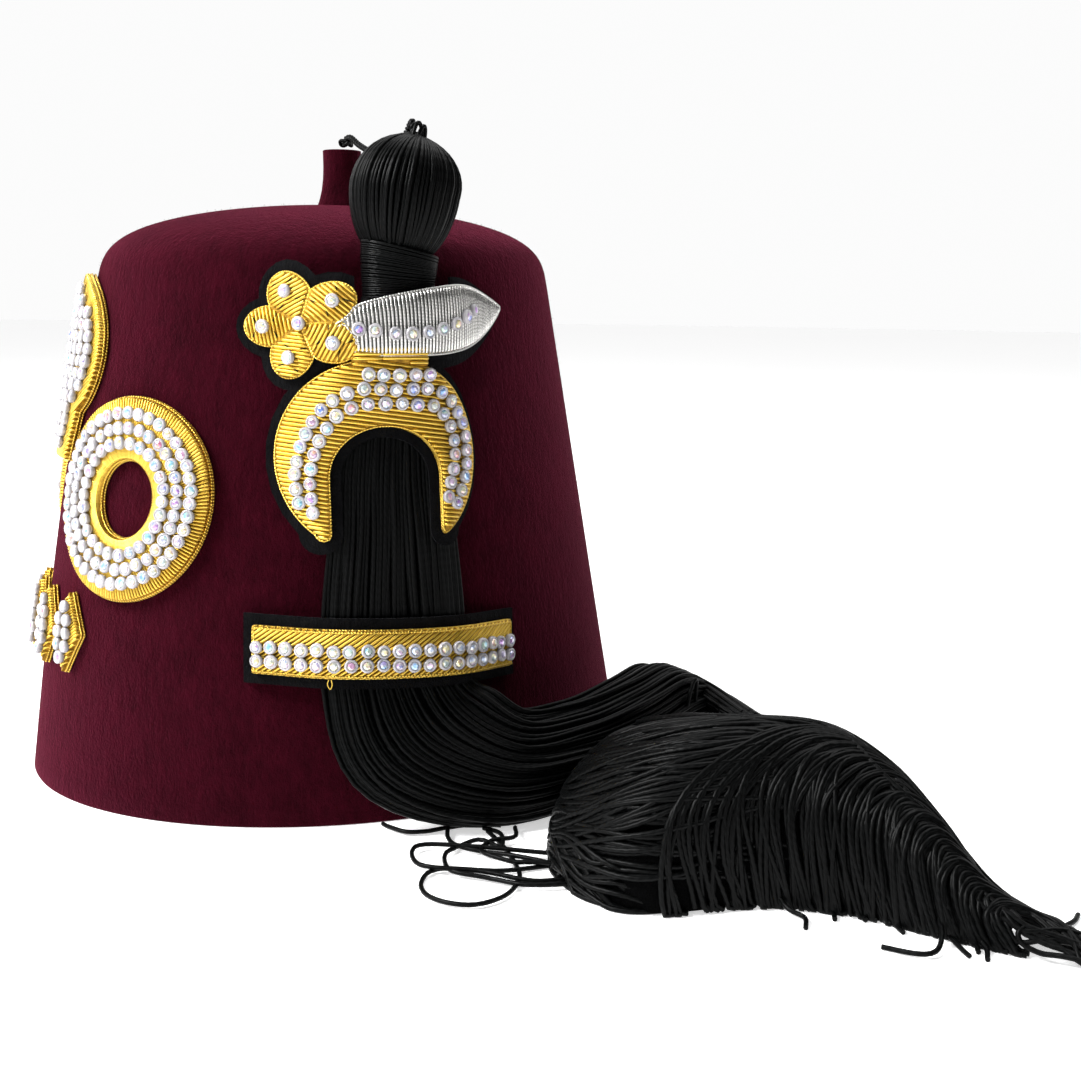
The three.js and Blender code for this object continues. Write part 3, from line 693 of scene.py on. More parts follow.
def even_steps(path, pitch, closed=False):
    """Points at equal steps, near pitch, along a flat or spatial path."""
    path = np.asarray(path, float)
    if closed:
        path = np.concatenate([path, path[:1]])
    lengths = lengths_along(path)
    count = max(1, round(lengths[-1] / pitch))
    at = np.linspace(0, lengths[-1], count + 1)
    if closed:
        at = at[:-1]
    return np.stack([np.interp(at, lengths, path[:, k]) for k in range(path.shape[1])], -1)


def crossings(outline, origin, direction):
    """Where a line crosses an outline, as sorted distances along it."""
    a, b = outline, np.roll(outline, -1, 0)
    normal = np.array([-direction[1], direction[0]])
    da, db = (a - origin) @ normal, (b - origin) @ normal
    hit = (da > 0) != (db > 0)
    share = da[hit] / (da[hit] - db[hit])
    points = a[hit] + (b[hit] - a[hit]) * share[:, None]
    return np.sort((points - origin) @ direction)


# %% Wires over padding
COUCHED_DOWN = 1.6  # how far a wire's ends dive beside the padding


def couched(spot, start, end, top):
    """One wire from start to end of a flat shape: up over the padding's side, across it, and down again."""
    start, end = np.asarray(start, float), np.asarray(end, float)
    way = unit(end - start)
    length = np.linalg.norm(end - start)
    points = max(5, round(length / 2.2))
    middle = np.linspace(0.55, length - 0.55, points)
    reach = np.concatenate([[0.1, 0.2], middle, [length - 0.2, length - 0.1]])
    crown = np.sin(np.clip(np.linspace(0, 1, points), 0, 1) * math.pi) ** 0.5 * 0.25
    ends = [top - COUCHED_DOWN, top - 0.25]
    height = np.concatenate([ends, top + 0.1 + crown, ends[::-1]])
    flat = start + way * reach[:, None]
    return spot.place(flat[:, 0], flat[:, 1], height)[0]


def parallel_fill(spot, outline, tilt, pitch, top):
    """Couched wires that lie side by side at one tilt, in degrees, across an outline."""
    direction = np.array([math.cos(math.radians(tilt)), math.sin(math.radians(tilt))])
    normal = np.array([-direction[1], direction[0]])
    reach = outline @ normal
    lines = []
    for offset in np.arange(reach.min() + pitch * 0.6, reach.max() - pitch * 0.3, pitch):
        found = crossings(outline, normal * offset, direction)
        for start, end in found[: len(found) // 2 * 2].reshape(-1, 2):
            if end - start > 1.2:
                foot = normal * offset
                lines.append(couched(spot, foot + direction * start, foot + direction * end, top))
    return lines


def edging(spot, outline, height, step=1.0, out=0.0):
    """A closed wire along an outline, or out millimetres outside it."""
    flat = even_steps(outline, step, closed=True)
    ahead = unit(np.roll(flat, -1, 0) - np.roll(flat, 1, 0))
    x, y = outline.T
    turn = np.sign((x * np.roll(y, -1) - np.roll(x, -1) * y).sum())
    flat = flat + turn * out * np.stack([ahead[:, 1], -ahead[:, 0]], -1)
    flat = np.concatenate([flat, flat[:1]])
    return spot.place(flat[:, 0], flat[:, 1], height)[0]

# %% [markdown]
# ## The felt body
# A fez is one piece of felt pressed over a block, open below. Its outer skin follows the wall's rule, and
# the inner skin lies one felt thickness inside. The cut edge at the rim is slightly rounded.

# %% Skins of rings
def ring_mesh(name, rings, material, capped=(True, True)):
    """A mesh through rings of points, in millimetres. A capped end closes to a point in its middle."""
    rings = [np.asarray(ring, float) for ring in rings]
    count = len(rings[0])
    points = list(np.concatenate(rings))
    faces = bands(len(rings), count)
    if capped[0]:
        points.append(rings[0].mean(0))
        faces += [(len(points) - 1, (i + 1) % count, i) for i in range(count)]
    if capped[1]:
        points.append(rings[-1].mean(0))
        last = (len(rings) - 1) * count
        faces += [(len(points) - 1, last + i, last + (i + 1) % count) for i in range(count)]
    mesh = bpy.data.meshes.new(name)
    mesh.from_pydata((np.array(points) * MM).tolist(), [], faces)
    mesh.polygons.foreach_set("use_smooth", [True] * len(faces))
    mesh.materials.append(material)
    return add_object(name, mesh)


def skin_rings(inward, around, wall_rings):
    """Rings round the hat from the rim to the crown, inward millimetres inside its outer skin."""
    angles = np.linspace(0, 2 * math.pi, around, endpoint=False)
    turns = np.linspace(0, math.pi / 2, 30)[1:-1]
    crown = SHOULDER + (HEIGHT - SHOULDER) * np.sin(turns) ** (2 / EDGE_POWER)
    heights = np.concatenate([np.linspace(0.8, SHOULDER, wall_rings), crown])
    return [wall_point(angles, z) - wall_frame(angles, z)[2] * inward for z in heights]


def felt_body():
    around = 192
    outer = skin_rings(0, around, 30)
    inner = skin_rings(FELT, around, 12)
    angles = np.linspace(0, 2 * math.pi, around, endpoint=False)
    edge = []
    for inward, z in ((FELT, 0.8), (FELT - 0.35, 0.2), (FELT - 0.9, 0.0), (0.9, 0.0), (0.35, 0.2)):
        ring = wall_point(angles, z) - wall_frame(angles, 0.5)[2] * inward
        ring[:, 2] = z
        edge.append(ring)
    rings = inner[::-1] + edge + outer
    ready(ring_mesh("felt_body", rings, burgundy_felt), "felt", "fez_felt")


felt_body()

# %% [markdown]
# Brushed felt has a short nap. A Geometry Nodes tree scatters short bent hairs over the outer skin.

# %% The nap
def nap_tree():
    tree, given, result = new_tree(
        "nap", [("Density", "Float"), ("Hair", "Object"), ("Finish", "Material"), ("Seed", "Int")]
    )
    add, link = tree.nodes.new, tree.links.new
    scatter = add("GeometryNodeDistributePointsOnFaces")
    link(given.outputs["Geometry"], scatter.inputs["Mesh"])
    link(given.outputs["Density"], scatter.inputs["Density"])
    link(given.outputs["Seed"], scatter.inputs["Seed"])
    spin = add("FunctionNodeRandomValue")
    spin.data_type = "FLOAT_VECTOR"
    spin.inputs["Min"].default_value = (-1.1, -1.1, -3.14)
    spin.inputs["Max"].default_value = (1.1, 1.1, 3.14)
    lean = add("FunctionNodeEulerToRotation")
    link(spin.outputs["Value"], lean.inputs[0])
    turn = add("FunctionNodeRotateRotation")
    turn.rotation_space = "LOCAL"
    link(scatter.outputs["Rotation"], turn.inputs[0])
    link(lean.outputs[0], turn.inputs[1])
    size = add("FunctionNodeRandomValue")
    size.data_type = "FLOAT"
    size.inputs[2].default_value = 0.5
    size.inputs[3].default_value = 1.3
    hairs = set_on_points(
        tree, scatter.outputs["Points"], given.outputs["Hair"], turn.outputs[0], size.outputs[1]
    )
    return end_tree(tree, given, result, hairs)


def hair_shape():
    """A bent hair, 0.9 mm long, with three sides."""
    points = []
    for x, z, half in ((0, -0.1, 0.022), (0.08, 0.35, 0.02), (0.3, 0.75, 0.012)):
        for i in range(3):
            turn = 2 * math.pi * i / 3
            points.append(((x + half * math.cos(turn)) * MM, half * math.sin(turn) * MM, z * MM))
    faces = bands(3, 3) + [(2, 1, 0), (6, 7, 8)]
    mesh = bpy.data.meshes.new("hair_shape")
    mesh.from_pydata(points, [], faces)
    return bpy.data.objects.new("hair_shape", mesh)


HAIRS_PER_SQUARE_METRE = 110000.0


def felt_nap():
    rings = skin_rings(0.02, 96, 14)[:-3]
    host = ring_mesh("nap_ground", rings, burgundy_felt, capped=(False, False))
    nap = grow(
        host, nap_tree(), "felt_nap",
        Density=HAIRS_PER_SQUARE_METRE, Hair=hair_shape(), Finish=burgundy_felt, Seed=4,
    )
    ready(nap, "felt")


felt_nap()

# %% [markdown]
# ## The crown's stem
# A strip of the same felt is rolled up tight and sewn to the middle of the crown. Its section is a spiral,
# so the loose edge of the strip shows as a step.

# %% The rolled stem
STEM_X, STEM_FOOT, STEM_HEIGHT = 4.0, HEIGHT - 0.6, 18.2
ROLL_TURNS, ROLL_START = 3.6 * math.pi, 0.9


def stem_ring(share):
    """The spiral outline of the rolled strip: along its outer side, then back along its inner side."""
    radius = 6.3 + 2.7 * (1 - share) ** 3 + 0.5 * share
    turns = np.linspace(0, ROLL_TURNS, 44)
    outer = radius - 2.1 * (ROLL_TURNS - turns) / (2 * math.pi)
    inner = np.maximum(outer - 1.85, 0.12)
    ahead = np.stack([np.cos(turns + ROLL_START), np.sin(turns + ROLL_START)], -1)
    rolled = outer > 0.6
    return np.concatenate([(outer[:, None] * ahead)[rolled], (inner[:, None] * ahead)[rolled][::-1]])


def rolled_stem():
    rings = []
    for share in (0, 0.05, 0.15, 0.3, 0.5, 0.7, 0.88, 0.97, 1.0):
        flat = stem_ring(share)
        centre = np.array([STEM_X, 0.5 * share])
        height = STEM_FOOT + STEM_HEIGHT * share
        rings.append(np.concatenate([flat + centre, np.full((len(flat), 1), height)], 1))
    points = np.concatenate(rings) * MM
    count = len(rings[0])
    faces = bands(len(rings), count)
    for row, flip in ((0, True), (len(rings) - 1, False)):
        for i in range(count // 2 - 1):
            quad = tuple(row * count + q for q in (i, i + 1, count - 2 - i, count - 1 - i))
            faces.append(quad[::-1] if flip else quad)
    mesh = bpy.data.meshes.new("rolled_stem")
    mesh.from_pydata(points.tolist(), [], faces)
    mesh.polygons.foreach_set("use_smooth", [True] * len(faces))
    mesh.materials.append(burgundy_felt)
    made = add_object("rolled_stem", mesh)
    bevel = made.modifiers.new("soft_edges", "BEVEL")
    bevel.width, bevel.segments, bevel.limit_method = 0.35 * MM, 2, "ANGLE"
    ready(made, "felt", "crown_stem")


rolled_stem()

# %% [markdown]
# ## The tassel's cord
# A limp two-ply cord goes from the stem over to the top of the tassel's head. It is a free cord with both
# ends on the hat, so its route repeats the one in the solid model. Each ply is a tube that winds round it.

# %% Smooth lines
def cubic(a, b, c, d, s):
    """The smooth curve between b and c, at shares s of the way."""
    return 0.5 * (2 * b + (c - a) * s + (2 * a - 5 * b + 4 * c - d) * s**2 + (3 * b - a - 3 * c + d) * s**3)


def smooth_line(points, count):
    """A smooth line through points (a uniform cubic), in count equal steps."""
    p = np.asarray(points, float)
    p = np.concatenate([[2 * p[0] - p[1]], p, [2 * p[-1] - p[-2]]])
    t = np.linspace(0, len(p) - 3, max(8 * len(p), 3 * count))
    k = np.minimum(t.astype(int), len(p) - 4)
    s = (t - k)[:, None]
    a, b, c, d = p[k], p[k + 1], p[k + 2], p[k + 3]
    line = cubic(a, b, c, d, s)
    lengths = lengths_along(line)
    at = np.linspace(0, lengths[-1], count)
    return np.stack([np.interp(at, lengths, line[:, i]) for i in range(line.shape[1])], -1)


def line_frames(line):
    """Two unit vectors across a line, carried along it with no twist."""
    ahead = unit(np.gradient(line, axis=0))
    side = np.zeros_like(line)
    side[0] = unit(np.cross(ahead[0], [0.3, 0.9, 0.1]))
    for i in range(1, len(line)):
        side[i] = unit(side[i - 1] - ahead[i] * np.dot(side[i - 1], ahead[i]))
    return side, np.cross(ahead, side)


def plies(line, count, offset, pitch):
    """Lines that wind round a line, as the plies of a cord do."""
    side, over = line_frames(line)
    along = lengths_along(line)
    wound = []
    for ply in range(count):
        turn = (2 * math.pi * (along / pitch + ply / count))[:, None]
        wound.append(line + offset * (side * np.cos(turn) + over * np.sin(turn)))
    return wound


# %% The cord
CORD_ROUTE = np.array([
    (4.6, -1.2, 201.4), (5, -3.6, 203), (5.6, -8, 203), (6.6, -16, 200), (8, -28, 197), (9.4, -40, 197),
    (10.2, -50, 197), (10.6, -57, 199.6), (10.7, -62, 202.2), (10.4, -65.8, 202.4), (10, -68, 199.4),
])
cord_line = smooth_line(CORD_ROUTE, 260)
hat_cord = tubes("hat_cord", plies(cord_line, 2, 0.5, 3.4), 1.05, 8, strand_silk, seed=2)
ready(hat_cord, "silk", "tassel_cord")

# %% [markdown]
# ## The tassel's head
# The head is the folded middle of the strands, drawn in by the thread below. Strands run up its sides and
# dip into the cleft where the cord is tied.

# %% The head
HEAD_CENTRE = np.array([7.6, -68.0, 184.0])
HEAD_RADIUS, HEAD_RISE, HEAD_DROP, NECK_DROP, HEAD_DEPTH = 16.0, 14.4, 22.7, 18.6, 0.92
HEAD_LEAN = math.radians(8)


def head_place(radius, turn, height):
    """A point of the head from its own round section, leant over and set in place."""
    x, y = radius * np.cos(turn), radius * np.sin(turn) * HEAD_DEPTH
    return np.stack([
        HEAD_CENTRE[0] + x * math.cos(HEAD_LEAN) + height * math.sin(HEAD_LEAN),
        HEAD_CENTRE[1] + y,
        HEAD_CENTRE[2] - x * math.sin(HEAD_LEAN) + height * math.cos(HEAD_LEAN),
    ], -1)


def head_profile(share):
    """Radius and height of the head's outline, from the neck (0) over the top into the cleft (1)."""
    low = np.clip(share / 0.52, 0, 1)
    fall = -NECK_DROP * (1 - low)
    lower = HEAD_RADIUS * np.sqrt(1 - (fall / HEAD_DROP) ** 2)
    high = np.clip((share - 0.52) / 0.48, 0, 1) * math.radians(118)
    upper = (HEAD_RADIUS - 5.2) * np.cos(np.minimum(high, math.pi / 2)) + 5.2 * np.cos(high)
    dip = 4.0 * (1 - np.sin(np.maximum(high, math.pi / 2)))
    rise = HEAD_RISE * np.sin(np.minimum(high, math.pi / 2)) - dip
    below = share < 0.52
    return np.where(below, lower, np.maximum(upper, 1.2)), np.where(below, fall, rise)


def to_cleft(line, share):
    """Draws the top of the head over to the cleft, which lies behind its middle, and lowers that side."""
    pull = np.clip((share - 0.5) / 0.5, 0, 1)
    moved = line.copy()
    moved[:, 2] -= 0.17 * (moved[:, 0] - HEAD_CENTRE[0]) * pull
    moved[:, 0] += 3.0 * pull
    return moved


HEAD_STRANDS, HEAD_STRAYS = 92, 9


def head_strands():
    rng = np.random.default_rng(11)
    share = np.linspace(0, 1, 30)
    radius, height = head_profile(share)
    lines = []
    for i in range(HEAD_STRANDS):
        turn = 2 * math.pi * (i + rng.uniform(-0.2, 0.2)) / HEAD_STRANDS
        sway = rng.normal(0, 0.018) * np.sin(math.pi * share) + 0.01 * np.sin(6 * share + rng.uniform(0, 6))
        depth = rng.uniform(-0.35, 0.1)
        lines.append(to_cleft(head_place(radius + depth - 0.5, turn + sway, height), share))
    for _ in range(HEAD_STRAYS):
        turn = 2 * math.pi * rng.random()
        sway = rng.normal(0, 0.1) * np.sin(math.pi * share)
        lines.append(to_cleft(head_place(radius + 0.2, turn + sway, height), share))
    ready(tubes("head_strands", lines, 1.2, 6, strand_silk, seed=3), "silk", "tassel_head")


def head_core(count=32):
    """The dark filling under the head's strands."""
    share = np.linspace(0, 0.97, 16)
    radius, height = head_profile(share)
    turns = np.linspace(0, 2 * math.pi, count, endpoint=False)
    rings = [
        to_cleft(head_place(np.full(count, max(r - 1.3, 0.6)), turns, np.full(count, h)), np.full(count, s))
        for r, h, s in zip(radius, height, share)
    ]
    ready(ring_mesh("head_core", rings, shadow_silk), "silk")


head_strands()
head_core()

# %% [markdown]
# Two short loops of cord and a knot sit in the cleft, and a second knot ties the cord at the stem.

# %% Knots
def knot(name, centre, size, seed):
    """A small overhand knot: a trefoil line pulled tight."""
    t = np.linspace(0, 2 * math.pi, 90, endpoint=False)
    trefoil = [np.sin(t) + 2 * np.sin(2 * t), np.cos(t) - 2 * np.cos(2 * t), -1.1 * np.sin(3 * t)]
    line = np.stack(trefoil, -1) * size / 3 + centre
    ready(tubes(name, [line], 1.15, 8, strand_silk, seed=seed, closed=True), "silk")


knot("stem_knot", (5.2, -2.8, 201.8), 2.1, 5)
knot("head_knot", (10.4, -67.0, 198.4), 1.9, 6)


def head_loops():
    loops = []
    for dx, dy, height, lean, wide in ((0.2, -1.5, 5.6, 0.2, 1.7), (1.4, -0.5, 4.8, 0.5, 1.4)):
        t = np.linspace(0, math.pi, 24)
        x = 10.4 + dx + wide * np.cos(t) + lean * height * np.sin(t) * 0.5
        z = 196.4 + height * np.sin(t)
        loops.append(np.stack([x, np.full(24, -68.0 + dy) + 1.2 * np.cos(t), z], -1))
    ready(tubes("head_loops", loops, 1.2, 7, strand_silk, seed=7), "silk")


head_loops()

# %% [markdown]
# Below the head, fine thread is wound round the neck, turn upon turn.

# %% The binding
BINDING = np.array([  # height, x, y, half width, half depth
    (150.0, 4.4, -70.2, 9.7, 7.4), (156.0, 4.7, -70.3, 10.3, 8.3), (162.0, 5.0, -69.9, 10.8, 8.9),
    (166.6, 5.6, -69.0, 11.0, 9.6),
])


def binding_point(height, turn, out=0.0):
    x, y, wide, deep = (np.interp(height, BINDING[:, 0], BINDING[:, k]) for k in (1, 2, 3, 4))
    slant = np.clip((height - 154) / 12, 0, 1) * -0.23 * wide * np.cos(turn)
    return np.stack([x + (wide + out) * np.cos(turn), y + (deep + out) * np.sin(turn), height + slant], -1)


def binding(wraps=36, steps=36):
    turn = np.linspace(0, 2 * math.pi * wraps, wraps * steps)
    height = 150.0 + 16.6 * turn / turn[-1]
    rng = np.random.default_rng(8)
    wander = np.interp(turn, np.linspace(0, turn[-1], 60), rng.normal(0, 0.1, 60))
    line = binding_point(height + wander, turn, 0.05)
    ready(tubes("binding_thread", [line], 0.62, 5, thread_silk, seed=9), "silk", "tassel_binding")
    turns = np.linspace(0, 2 * math.pi, 40, endpoint=False)
    core = [binding_point(np.full(40, z), turns, -0.2) for z in (149.0, 154.0, 158.0, 162.0, 166.8)]
    ready(ring_mesh("binding_core", core, shadow_silk), "silk")


binding()

# %% [markdown]
# ## The tassel's skirt
# Several hundred strands hang together under the badge and the bar. Below the bar they sweep along the foot
# of the wall, fold over in a hump, and lie forward on the table in a heap that ends in a loose tail. Each
# strand is a line in the bundle's own coordinates, so that neighbours stay side by side like combed hair.

# %% The hanging bundle as a table
HANGING = np.array([  # across, z, half width, depth, turn, distance of its middle off the wall
    (4.0, 152.0, 9.6, 13.0, 0, 7.4),
    (4.0, 146.0, 11.2, 12.4, 0, 6.8),
    (3.0, 135.0, 13.2, 10.6, 0, 5.8),
    (2.0, 118.0, 15.2, 9.6, 0, 5.3),
    (1.0, 100.0, 16.8, 9.6, 0, 5.3),
    (0.8, 84.0, 18.2, 9.4, 0, 5.2),
    (0.5, 62.0, 20.6, 8.2, 0, 4.6),
    (0.5, 42.0, 21.6, 8.2, 4, 4.6),
    (7.0, 25.0, 24.0, 13.0, 30, 8.5),
    (25.0, 14.5, 17.5, 21.0, 60, 14.0),
    (46.0, 14.5, 14.5, 26.0, 84, 17.0),
    (66.0, 16.0, 15.5, 29.0, 90, 20.0),
    (82.0, 17.5, 15.5, 30.0, 94, 23.0),
    (93.0, 14.5, 13.0, 26.0, 120, 30.0),
    (88.0, 9.5, 7.0, 16.0, 150, 52.0),
])


def table_at(table, t):
    """Smooth rows between the rows of a table (a uniform cubic)."""
    p = np.concatenate([[2 * table[0] - table[1]], table, [2 * table[-1] - table[-2]]])
    k = np.clip(t.astype(int), 0, len(table) - 2)
    s = (t - k)[:, None]
    a, b, c, d = p[k], p[k + 1], p[k + 2], p[k + 3]
    return cubic(a, b, c, d, s)


def hanging_place(t, p, q):
    """A point of the hanging bundle: t down its rows, p across it and q out from the wall, each -1 to 1."""
    across, z, half, depth, turn, off = table_at(HANGING, t).T
    angle = angle_at(across, z)
    along, rise, out = wall_frame(angle, z)
    turn = np.radians(turn)[:, None]
    side = along * np.cos(turn) + rise * np.sin(turn)
    place = wall_point(angle, z) + out * off[:, None]
    place = place + side * (half * p)[:, None] + out * (depth / 2 * q)[:, None]
    place[:, 2] = np.maximum(place[:, 2], 0.8 + 0.25 * np.abs(q))
    return place


def swayed(rng, t, size, waves=2.2):
    """A slow random wander along a strand."""
    total = np.zeros_like(t)
    for k in range(1, 4):
        total += rng.normal(0, size / k) * np.sin(waves * k * t / t[-1] * math.pi + rng.uniform(0, 6.3))
    return total


LAYERS = ((0.95, 44), (0.9, 40), (0.45, 34), (-0.1, 24), (-0.6, 18))  # how far out, and how many strands


def hanging_strands():
    rng = np.random.default_rng(21)
    lines = []
    for q, count in LAYERS:
        for i in range(count):
            p = -1 + 2 * (i + 0.5 + rng.uniform(-0.4, 0.4)) / count
            p = math.sin(p * math.pi / 2) * 0.97
            end = len(HANGING) - 1 - rng.uniform(0, 0.3)
            t = np.linspace(0, end, 74)
            lock = 0.03 * np.sin(0.9 * t + 5 * p) * np.clip(t / 6, 0, 1)
            room = np.sqrt(np.maximum(0.02, 1 - p * p))
            wander = swayed(rng, t, 0.028) * np.clip(t / 5, 0.2, 1.6)
            inner = q * room + swayed(rng, t, 0.06)
            lines.append(hanging_place(t, np.clip(p + wander + lock, -1.05, 1.05), inner))
    return lines


def fix_outward(piece):
    """Turns all faces of a closed piece outwards."""
    mesh = bmesh.new()
    mesh.from_mesh(piece.data)
    bmesh.ops.recalc_face_normals(mesh, faces=mesh.faces)
    mesh.to_mesh(piece.data)
    mesh.free()


def loft_core(name, rows, place, share=0.8, count=28):
    """The dark filling of a bundle: rings through its rows, at a share of its size."""
    turns = np.linspace(0, 2 * math.pi, count, endpoint=False)
    rings = [place(np.full(count, t), share * np.cos(turns), share * np.sin(turns)) for t in rows]
    core = ring_mesh(name, rings, shadow_silk)
    fix_outward(core)
    ready(core, "silk")


# %% The strands that hang
hanging = hanging_strands()
ready(tubes("skirt_hanging", hanging, 1.4, 6, strand_silk, seed=22), "silk", "tassel_skirt")
loft_core("skirt_core", np.linspace(0.1, len(HANGING) - 1.2, 40), hanging_place, share=0.78)

# %% [markdown]
# The heap is an oval mound that winds forward over the table. Strands on it are lines in two numbers: how
# far along the mound they are, and how far over it, from the near foot (0) over the top to the far one (1).
# Some climb it out of the fold, some are combed over it to the near side, and some run along its ridge.

# %% The heap as a table
HEAP = np.array([  # x, y, half width, height, heading in degrees
    (78.0, -86.0, 22.0, 26.0, -68),
    (72.0, -103.0, 37.0, 31.0, -70),
    (69.0, -128.0, 42.0, 38.0, -72),
    (76.0, -152.0, 40.0, 44.0, -68),
    (93.8, -161.1, 26.0, 43.0, -62),
    (105.6, -174.1, 18.5, 36.0, -58),
    (112.0, -190.4, 12.8, 25.0, -58),
    (118.0, -204.0, 9.0, 13.0, -58),
    (128.0, -218.0, 7.5, 7.0, -56),
    (139.0, -232.0, 9.0, 2.5, -54),
])


def heap_place(t, over, inset=0.0):
    """A point on the mound. inset is how many millimetres it lies under the surface."""
    x, y, half, height, heading = table_at(HEAP, np.clip(t, 0, len(HEAP) - 1.001)).T
    turn = np.radians(heading)
    near = np.stack([np.sin(turn), -np.cos(turn)], -1)
    climb = math.pi * np.asarray(over)
    reach = (half - inset) * np.cos(climb)
    lift = np.maximum(height - inset, 0.7) * np.sign(np.sin(climb)) * np.abs(np.sin(climb)) ** 0.8
    place = np.stack([x + near[:, 0] * reach, y + near[:, 1] * reach, lift], -1)
    place[:, 2] = np.maximum(place[:, 2], 0.8)
    return place


def heap_line(rng, steps, count, inset, jitter=(0.12, 0.02)):
    """A strand on the mound through rows of (along, over, extra inset)."""
    steps = np.asarray(steps, float)
    way = smooth_line(steps * [12, 40, 1], count) / [12, 40, 1]
    t, over, deeper = way.T
    s = np.linspace(0, 1, count)
    t = t + swayed(rng, s + 1e-6, jitter[0] * 0.5)
    over = over + swayed(rng, s + 1e-6, jitter[1])
    return heap_place(t, over, inset + deeper)


# %% Strands that climb the mound
def fan_strands(count=190):
    """Strands that turn up out of the fold at the near left and climb over the mound to the right."""
    rng = np.random.default_rng(31)
    lines = []
    for i in range(count):
        a = max(0.0, i + rng.uniform(-0.4, 0.4)) / count
        start_over = 0.02 + 0.42 * a
        reach = 2.6 + 1.3 * rng.random()
        rise = 0.05 + 0.52 * a**0.6 + rng.uniform(-0.04, 0.08)
        if i % 5 == 0:
            start_over, rise, reach = 0.3 * start_over, rng.uniform(-0.01, 0.12), rng.uniform(1.3, 2.0)
        steps = [
            (0.75 + 0.4 * a, 0.1 + 0.5 * a, 9),
            (0.85 + 0.2 * a, start_over + 0.03, 2.5),
            (1.2 + 0.1 * a, start_over * 0.8, 0.2),
            (1.2 + 0.45 * reach, 0.5 * start_over + 0.5 * rise, 0),
            (1.2 + 0.8 * reach, rise - 0.02, 0.8),
            (1.3 + reach, rise - 0.04, 5),
        ]
        lines.append(heap_line(rng, steps, 44, rng.uniform(0, 2.6)))
    return lines


def combed_strands(count=300):
    """Strands that come over the top, bend round and end on the table at the near side."""
    rng = np.random.default_rng(41)
    lines = []
    for i in range(count):
        share = max(0.0, i + rng.uniform(-0.5, 0.5)) / count
        t0 = 3.75 + 3.6 * share + rng.normal(0, 0.22) * (1 - share) ** 2
        lean = (0.9 + rng.normal(0, 0.15)) * (1 - share) ** 4
        lock = 0.12 * math.sin(9 * 2 * math.pi * share)
        curl = rng.uniform(0.6, 0.85) * (1.35 - 0.45 * share)
        end = -0.02 if rng.random() < 0.85 else -0.06
        steps = [
            (t0 + 0.9 * curl + 0.5, 0.62 + rng.uniform(-0.04, 0.08), 3.5),
            (t0 + 0.75 * curl, 0.56 + rng.uniform(-0.02, 0.02), 0.4),
            (t0 + 0.25 * curl, 0.48, 0),
            (t0 - 0.02 * curl - 0.2 * lean, 0.36, 0),
            (t0 + 0.02 + lock - 0.55 * lean, 0.22, 0),
            (t0 + 0.3 * curl + 1.5 * lock - 0.85 * lean, 0.09, 0),
            (t0 + 0.55 * curl + 2 * lock - lean + rng.uniform(-0.06, 0.1), end, 0),
        ]
        depth = rng.uniform(0, 2.2) * min(1, 0.3 + 5 * share)
        lines.append(heap_line(rng, steps, 34, depth, (0.05, 0.008)))
    return lines


# %% Strands that run along the mound
def ridge_strands(count=120):
    """Long strands that run along the top and the far side from the hump to the tail."""
    rng = np.random.default_rng(51)
    lines = []
    for i in range(count):
        over = 0.5 + 0.5 * (i + rng.uniform(-0.5, 0.5)) / count
        start = 0.1 + 0.5 * rng.random()
        end = rng.uniform(5.0, 7.0)
        steps = [
            (start, 0.45 + 0.4 * (over - 0.45), 2.5),
            (start + 1.2, over - 0.02, 0.3),
            (0.5 * (start + end), over + rng.uniform(-0.05, 0.05), 0),
            (end - 1.2, over + rng.uniform(-0.08, 0.05), 0),
            (end, over + rng.uniform(-0.15, 0.1), 0.5),
        ]
        lines.append(heap_line(rng, steps, 44, rng.uniform(0, 2.6)))
    return lines


def tail_strands(count=16):
    """The sparse ends that straggle out over the table."""
    rng = np.random.default_rng(61)
    lines = []
    for _ in range(count):
        start = rng.uniform(5.8, 7.0)
        side = rng.uniform(0.05, 0.9)
        spread = rng.uniform(-0.2, 1.2)
        steps = [
            (start, 0.35 + 0.4 * side, 1.5),
            (start + 0.7, 0.2 + 0.6 * side, 0.2),
            (7.7, side, 0),
            (8.4, 0.5 * side + 0.5 * spread, 0),
            (8.99, spread, 0),
        ]
        lines.append(heap_line(rng, steps, 34, rng.uniform(0, 0.8), (0.1, 0.04)))
    return lines


def heap_core_place(t, p, q):
    """A point of the mound's dark filling, just under its lower strands."""
    return heap_place(t, np.arctan2(q, p) / math.pi, 2.1)


# %% The strands that lie
HEAP_STRAND = 1.6
ready(tubes("heap_fan", fan_strands(), HEAP_STRAND, 6, strand_silk, seed=32), "silk")
ready(tubes("heap_combed", combed_strands(), HEAP_STRAND, 6, strand_silk, seed=42), "silk")
ready(tubes("heap_ridge", ridge_strands(), HEAP_STRAND, 6, strand_silk, seed=52), "silk")
ready(tubes("heap_tail", tail_strands(), 1.4, 6, strand_silk, seed=62), "silk")
loft_core("heap_core", np.linspace(0.2, 7.3, 30), heap_core_place)

# %% [markdown]
# A few strands have slipped out and lie in loops on the table, and single ends hook out under the heap.

